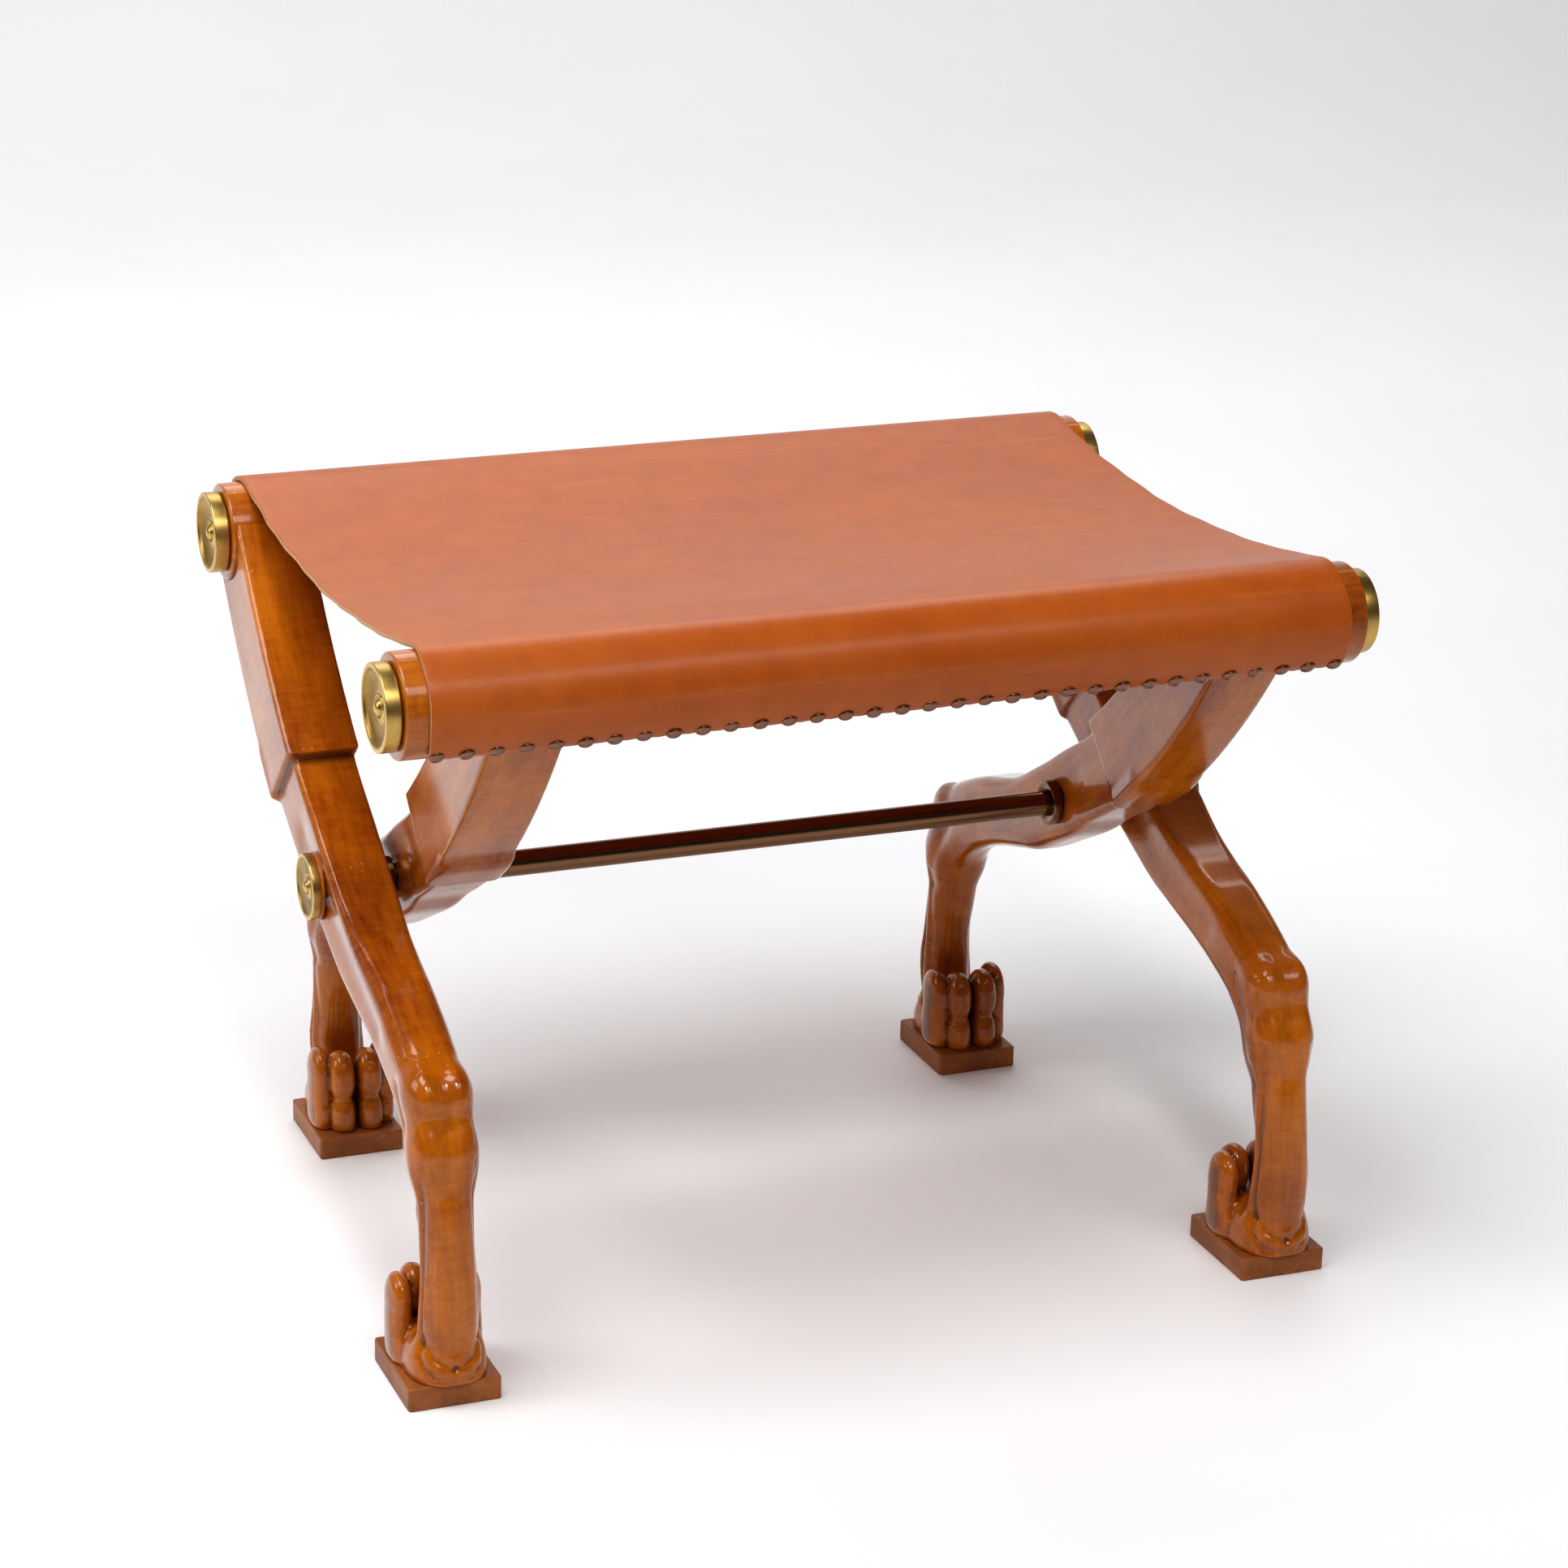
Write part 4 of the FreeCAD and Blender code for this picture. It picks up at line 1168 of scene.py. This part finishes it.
# %% Rail discs
DISC_THICKNESS = 9.0
DISC_RING = 8.0
SPIGOT_BACK = -1.0
SPIGOT_RADIUS = 20.0
SPIGOT_SUNK = 0.2
SPIGOT_CORNERS = [
    (SPIGOT_BACK, SCREW_BORE), (SPIGOT_BACK, SPIGOT_RADIUS), (SPIGOT_SUNK, SPIGOT_RADIUS),
    (SPIGOT_SUNK, SCREW_BORE),
]
for row, label, body in ROWS:
    screws = []
    for side, where in SIDES:
        node = f"disc_{label}_{where}"
        low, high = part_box(node)
        face = max(abs(low.x), abs(high.x)) - DISC_THICKNESS * MM
        place = (side * face, row * RAIL_Y, RAIL_Z)
        radius = (high.z - low.z) / 2 / MM
        disc, screw = disc_set(node + "_turned", radius, DISC_THICKNESS, DISC_RING, place, side, RAIL_BRASS)
        spigot = turn_outline(node + "_spigot", SPIGOT_CORNERS, place, side, RAIL_BRASS, ease=0.1)
        settle(joined(node + "_turned", [disc, spigot]), body, "aged_brass", node)
        screws.append(screw)
    settle(joined(f"rail_screws_{label}_domed", screws), body, "aged_brass", f"rail_screws_{label}")
print("four rail discs, four screws")

# %% Pivot discs
PIVOT_RING = 6.5
screws = []
for side, where in SIDES:
    node = f"pivot_disc_{where}"
    low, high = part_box(node)
    place = (side * min(abs(low.x), abs(high.x)), 0, PIVOT_Z)
    radius = (high.z - low.z) / 2 / MM
    thickness = (high.x - low.x) / MM
    disc, screw = disc_set(node + "_turned", radius, thickness, PIVOT_RING, place, side, PIVOT_BRASS)
    settle(disc, "outer_frame", "aged_brass", node)
    screws.append(screw)
settle(joined("pivot_screws_domed", screws), "outer_frame", "aged_brass", "pivot_screws")
print("two pivot discs, two screws")

# %% [markdown]
# The rod runs right through the four legs. Against each inner leg it has a collar, between the legs a spacer,
# and under each pivot disc a thin wooden washer.


# %% Collars, spacers and washers
ROD_PLAY = 0.02
SEAT_GAP = 0.2
SPACER_THICK = 7.0


def turned_ring(name, node, ends, side, material, ease):
    """One ring round the rod, as wide as its node and between two distances out along X, in mm."""
    low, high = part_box(node)
    radius = (high.z - low.z) / 2 / MM
    bore = ROD_RADIUS / MM + ROD_PLAY
    start, end = ends
    corners = [(start, bore), (start, radius), (end, radius), (end, bore)]
    return turn_outline(name, corners, (0, 0, PIVOT_Z), side, material, ease=ease, around=72)


collar_low, collar_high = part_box("collar_right")
COLLAR_ENDS = (collar_low.x / MM, collar_high.x / MM)
SPACER_ENDS = (LEG_OUT / MM - LEG_HALF - SEAT_GAP - SPACER_THICK, LEG_OUT / MM - LEG_HALF - SEAT_GAP)
WASHER_ENDS = (LEG_OUT / MM + LEG_HALF + SEAT_GAP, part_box("pivot_washers")[1].x / MM)
spacers, washers = [], []
for side, where in SIDES:
    collar = turned_ring(f"collar_{where}_turned", f"collar_{where}", COLLAR_ENDS, side, BRONZE, 1.0)
    settle(collar, "outer_frame", "dark_bronze", f"collar_{where}")
    spacers.append(turned_ring(f"spacer_{where}", "leg_spacers", SPACER_ENDS, side, BRONZE, 0.5))
    washers.append(turned_ring(f"washer_{where}", "pivot_washers", WASHER_ENDS, side, RAIL_WOOD, 0.4))
settle(joined("leg_spacers_turned", spacers), "outer_frame", "dark_spacer", "leg_spacers")
settle(joined("pivot_washers_turned", washers), "outer_frame", "leg_wood", "pivot_washers")
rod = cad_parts["pivot_rod"]
rod.data.materials.clear()
rod.data.materials.append(BRONZE)
print("rings on the rod")

# %% [markdown]
# ## Leather
#
# The seat is one thick sheet. In section it starts under the front rail, goes round it, hangs in a shallow
# arc and goes round the back rail. Those are three arcs that meet without a kink, so the grid of the sheet
# follows them exactly. Slight waves in the sag and along the tacked edges show that it is hide and not tin.


# %% Section of the leather
SEAT_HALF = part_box("leather_seat")[1].x
SEAT_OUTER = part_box("leather_seat")[1].z - RAIL_Z
SEAT_THICK = 3.2 * MM
SEAT_SAG = 18.0 * MM
SEAT_TAIL = math.radians(50.0)
TACKS = 33
TACK_EDGE = 5.0 * MM
TACK_PITCH = 2 * (SEAT_HALF - TACK_EDGE) / (TACKS - 1)
TACK_TURN = math.radians(44.0)
SEAT_GRID = 3.0 * MM


def seat_section():
    """Points and outward normals of the leather's upper side in section, from the front tail to the back."""
    drop = SEAT_OUTER - SEAT_SAG
    sag_radius = (RAIL_Y**2 + drop**2 - SEAT_OUTER**2) / (2 * SEAT_SAG)
    hub_z = RAIL_Z + drop + sag_radius
    lean = math.atan2(RAIL_Y, hub_z - RAIL_Z)
    quarter = math.pi / 2
    arcs = [
        ((-RAIL_Y, RAIL_Z), SEAT_OUTER, 2 * quarter + SEAT_TAIL, quarter - lean, 1),
        ((0.0, hub_z), sag_radius, 3 * quarter - lean, 3 * quarter + lean, -1),
        ((RAIL_Y, RAIL_Z), SEAT_OUTER, quarter + lean, -SEAT_TAIL, 1),
    ]
    line = []
    for number, (hub, radius, start, end, way) in enumerate(arcs):
        count = max(2, round(abs(end - start) * radius / SEAT_GRID))
        for step in range(count + (number == 2)):
            turn = start + (end - start) * step / count
            normal = Vector((0, math.cos(turn), math.sin(turn))) * way
            y = hub[0] + radius * math.cos(turn)
            z = hub[1] + radius * math.sin(turn)
            line.append((Vector((0, y, z)), normal))
    return line


section = seat_section()
seat_length = sum((b[0] - a[0]).length for a, b in zip(section, section[1:]))
print(f"leather: {2 * SEAT_HALF / MM:.0f} by {seat_length / MM:.0f} mm")


# %% Leather sheet
LONG_WAVE = 0.9
SHORT_WAVE = 0.5
SCALLOP = 0.35
SCALLOP_REACH = 12 * MM
SEAT_LIFT = 0.1
LONG_WANDER = 0.5
SHORT_WANDER = 0.35
EDGE_POWER = 12
EDGE_ROUND = 0.7 * MM


def seat_wave(x, run):
    """How far the hide stands off its smooth form, in metres, at a place across and along it."""
    share = run / seat_length
    free = math.sin(math.pi * share) ** 4
    long_wave = LONG_WAVE * math.sin(9.0 * x + 2.0 * share) * free
    short_wave = SHORT_WAVE * math.sin(23.0 * x + 5.0 * share + 1.0) * free
    near_tacks = max(0.0, 1 - min(run, seat_length - run) / SCALLOP_REACH)
    between = 2 * math.pi * (x + SEAT_HALF - TACK_EDGE) / TACK_PITCH + math.pi
    scallop = SCALLOP * math.cos(between) * near_tacks
    return (long_wave + short_wave + scallop + SEAT_LIFT) * MM


def seat_edge(run, side):
    """How far a side edge of the cut wanders along X."""
    share = run / seat_length
    long_wander = LONG_WANDER * math.sin(31 * share + side)
    short_wander = SHORT_WANDER * math.sin(83 * share + 2 * side)
    return side * (long_wander + short_wander) * MM


def leather_sheet():
    """The sheet with its thickness, and an attribute that is 1 on the cut edges."""
    columns = round(2 * SEAT_HALF / (2 * SEAT_GRID))
    runs = [0.0]
    for a, b in zip(section, section[1:]):
        runs.append(runs[-1] + (b[0] - a[0]).length)
    points = []
    for layer in (0, 1):
        for (spot, normal), run in zip(section, runs):
            for column in range(columns + 1):
                share = column / columns * 2 - 1
                x = share * SEAT_HALF + seat_edge(run, share) * abs(share) ** EDGE_POWER
                lift = seat_wave(x, run) - layer * SEAT_THICK
                points.append(Vector((x, 0, 0)) + spot + normal * lift)
    rows = len(section)
    across = columns + 1
    layer_size = rows * across
    faces, cut = [], []
    for row in range(rows - 1):
        for column in range(columns):
            a = row * across + column
            faces.append((a, a + 1, a + across + 1, a + across))
            faces.append(tuple(k + layer_size for k in (a, a + across, a + across + 1, a + 1)))
            cut += [0.0, 0.0]
    border = [(r * across, (r + 1) * across) for r in range(rows - 1)]
    border += [((rows - 1) * across + c, (rows - 1) * across + c + 1) for c in range(columns)]
    border += [((r + 1) * across + columns, r * across + columns) for r in range(rows - 1)]
    border += [(c + 1, c) for c in range(columns)]
    for a, b in border:
        faces.append((a, b, b + layer_size, a + layer_size))
        cut.append(1.0)
    sheet = new_mesh("leather_sling", points, faces)
    edge = sheet.data.attributes.new("edge", "FLOAT", "FACE")
    edge.data.foreach_set("value", cut)
    rounding = sheet.modifiers.new("rounded_edge", "BEVEL")
    rounding.width = EDGE_ROUND
    rounding.segments = 3
    rounding.limit_method = "ANGLE"
    rounding.angle_limit = math.radians(60)
    sheet.data.materials.append(LEATHER)
    return sheet


def bake_modifiers(piece):
    """Turn a piece's modifiers into its plain mesh."""
    evaluated = piece.evaluated_get(bpy.context.evaluated_depsgraph_get())
    mesh = bpy.data.meshes.new_from_object(evaluated)
    piece.modifiers.clear()
    piece.data = mesh


seat = leather_sheet()
bake_modifiers(seat)
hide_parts("leather_seat")
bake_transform(seat)
print("leather sling:", len(seat.data.polygons), "faces")

# %% [markdown]
# ## Tacks
#
# Thirty-three domed tacks hold each end of the leather. They repeat along a line, so Geometry Nodes place
# them: a line of points, one small turned head on each, and a seeded random tilt, because a hammer never
# drives two tacks alike. The nodes end by making the copies real and giving them their metal.


# %% Tack tree
TACK_SOCKETS = (
    ("Count", "NodeSocketInt"), ("First", "NodeSocketVector"), ("Pitch", "NodeSocketFloat"),
    ("Tilt", "NodeSocketFloat"), ("Wander", "NodeSocketFloat"), ("Seed", "NodeSocketInt"),
    ("Metal", "NodeSocketMaterial"),
)


def tack_tree():
    """Geometry Nodes that repeat the object's own mesh along the X axis."""
    tree = bpy.data.node_groups.new("tack_row", "GeometryNodeTree")
    face = tree.interface
    face.new_socket("Tack", in_out="INPUT", socket_type="NodeSocketGeometry")
    names = {}
    for label, kind in TACK_SOCKETS:
        names[label] = face.new_socket(label, in_out="INPUT", socket_type=kind).identifier
    face.new_socket("Row", in_out="OUTPUT", socket_type="NodeSocketGeometry")

    def node(kind, **links):
        """Add a node and link its inputs by name."""
        made = tree.nodes.new(kind)
        for key, source in links.items():
            tree.links.new(source, made.inputs[key.replace("_", " ")])
        return made

    given = node("NodeGroupInput").outputs

    def random_each_way(most):
        """A random vector, up to a socket's amount each way on each axis."""
        drawn = node("FunctionNodeRandomValue", Seed=given["Seed"])
        drawn.data_type = "FLOAT_VECTOR"
        far = node("ShaderNodeCombineXYZ", X=most, Y=most, Z=most).outputs[0]
        near = node("ShaderNodeVectorMath")
        near.operation = "SCALE"
        near.inputs["Scale"].default_value = -1.0
        tree.links.new(far, near.inputs[0])
        tree.links.new(near.outputs[0], drawn.inputs[0])
        tree.links.new(far, drawn.inputs[1])
        return drawn.outputs[0]

    step = node("ShaderNodeCombineXYZ", X=given["Pitch"]).outputs[0]
    line = node("GeometryNodeMeshLine", Count=given["Count"], Start_Location=given["First"], Offset=step)
    wander = random_each_way(given["Wander"])
    moved = node("GeometryNodeSetPosition", Geometry=line.outputs[0], Offset=wander)
    tilt = random_each_way(given["Tilt"])
    copies = node("GeometryNodeInstanceOnPoints", Points=moved.outputs[0], Instance=given["Tack"],
                  Rotation=tilt)
    real = node("GeometryNodeRealizeInstances", Geometry=copies.outputs[0])
    coated = node("GeometryNodeSetMaterial", Geometry=real.outputs[0], Material=given["Metal"])
    finish = tree.nodes.new("NodeGroupOutput")
    tree.links.new(coated.outputs[0], finish.inputs[0])
    return tree, names


TACK_TREE, TACK_INPUTS = tack_tree()
print("tack tree:", len(TACK_TREE.nodes), "nodes")


# %% Tack rows
TACK_CORNERS = [
    (-0.3, 0), (-0.3, 4.3), (0.15, 4.6), (0.7, 4.35), (1.35, 3.7), (2.0, 2.6), (2.45, 1.3), (2.6, 0),
]
TACK_STAND = 0.15 * MM
TACK_TILT = 0.07
TACK_WANDER = 0.25 * MM
TACK_SEEDS = {"back": 3, "front": 8}


def tack_row(name, row, body, node, seed):
    """One row of tacks, driven square into its rail through the leather."""
    out = Vector((0, row * math.cos(TACK_TURN), -math.sin(TACK_TURN)))
    head = turn_outline(name, TACK_CORNERS, (0, 0, 0), 1, TACK_METAL, ease=0.25, around=24)
    head.data.transform(Vector((1, 0, 0)).rotation_difference(out).to_matrix().to_4x4())
    end = Vector((-(TACKS - 1) / 2 * TACK_PITCH, row * RAIL_Y, RAIL_Z))
    first = end + out * (SEAT_OUTER + TACK_STAND)
    repeat = head.modifiers.new("row", "NODES")
    repeat.node_group = TACK_TREE
    for label, value in (("Count", TACKS), ("First", first), ("Pitch", TACK_PITCH), ("Tilt", TACK_TILT),
                         ("Wander", TACK_WANDER), ("Seed", seed), ("Metal", TACK_METAL)):
        repeat[TACK_INPUTS[label]] = value
    bake_modifiers(head)
    settle(head, body, "dark_tacks", node)
    return head


for row, label, body in ROWS:
    made = tack_row(f"tacks_{label}_row", row, body, f"tacks_{label}", TACK_SEEDS[label])
    print(made.name, len(made.data.polygons), "faces")
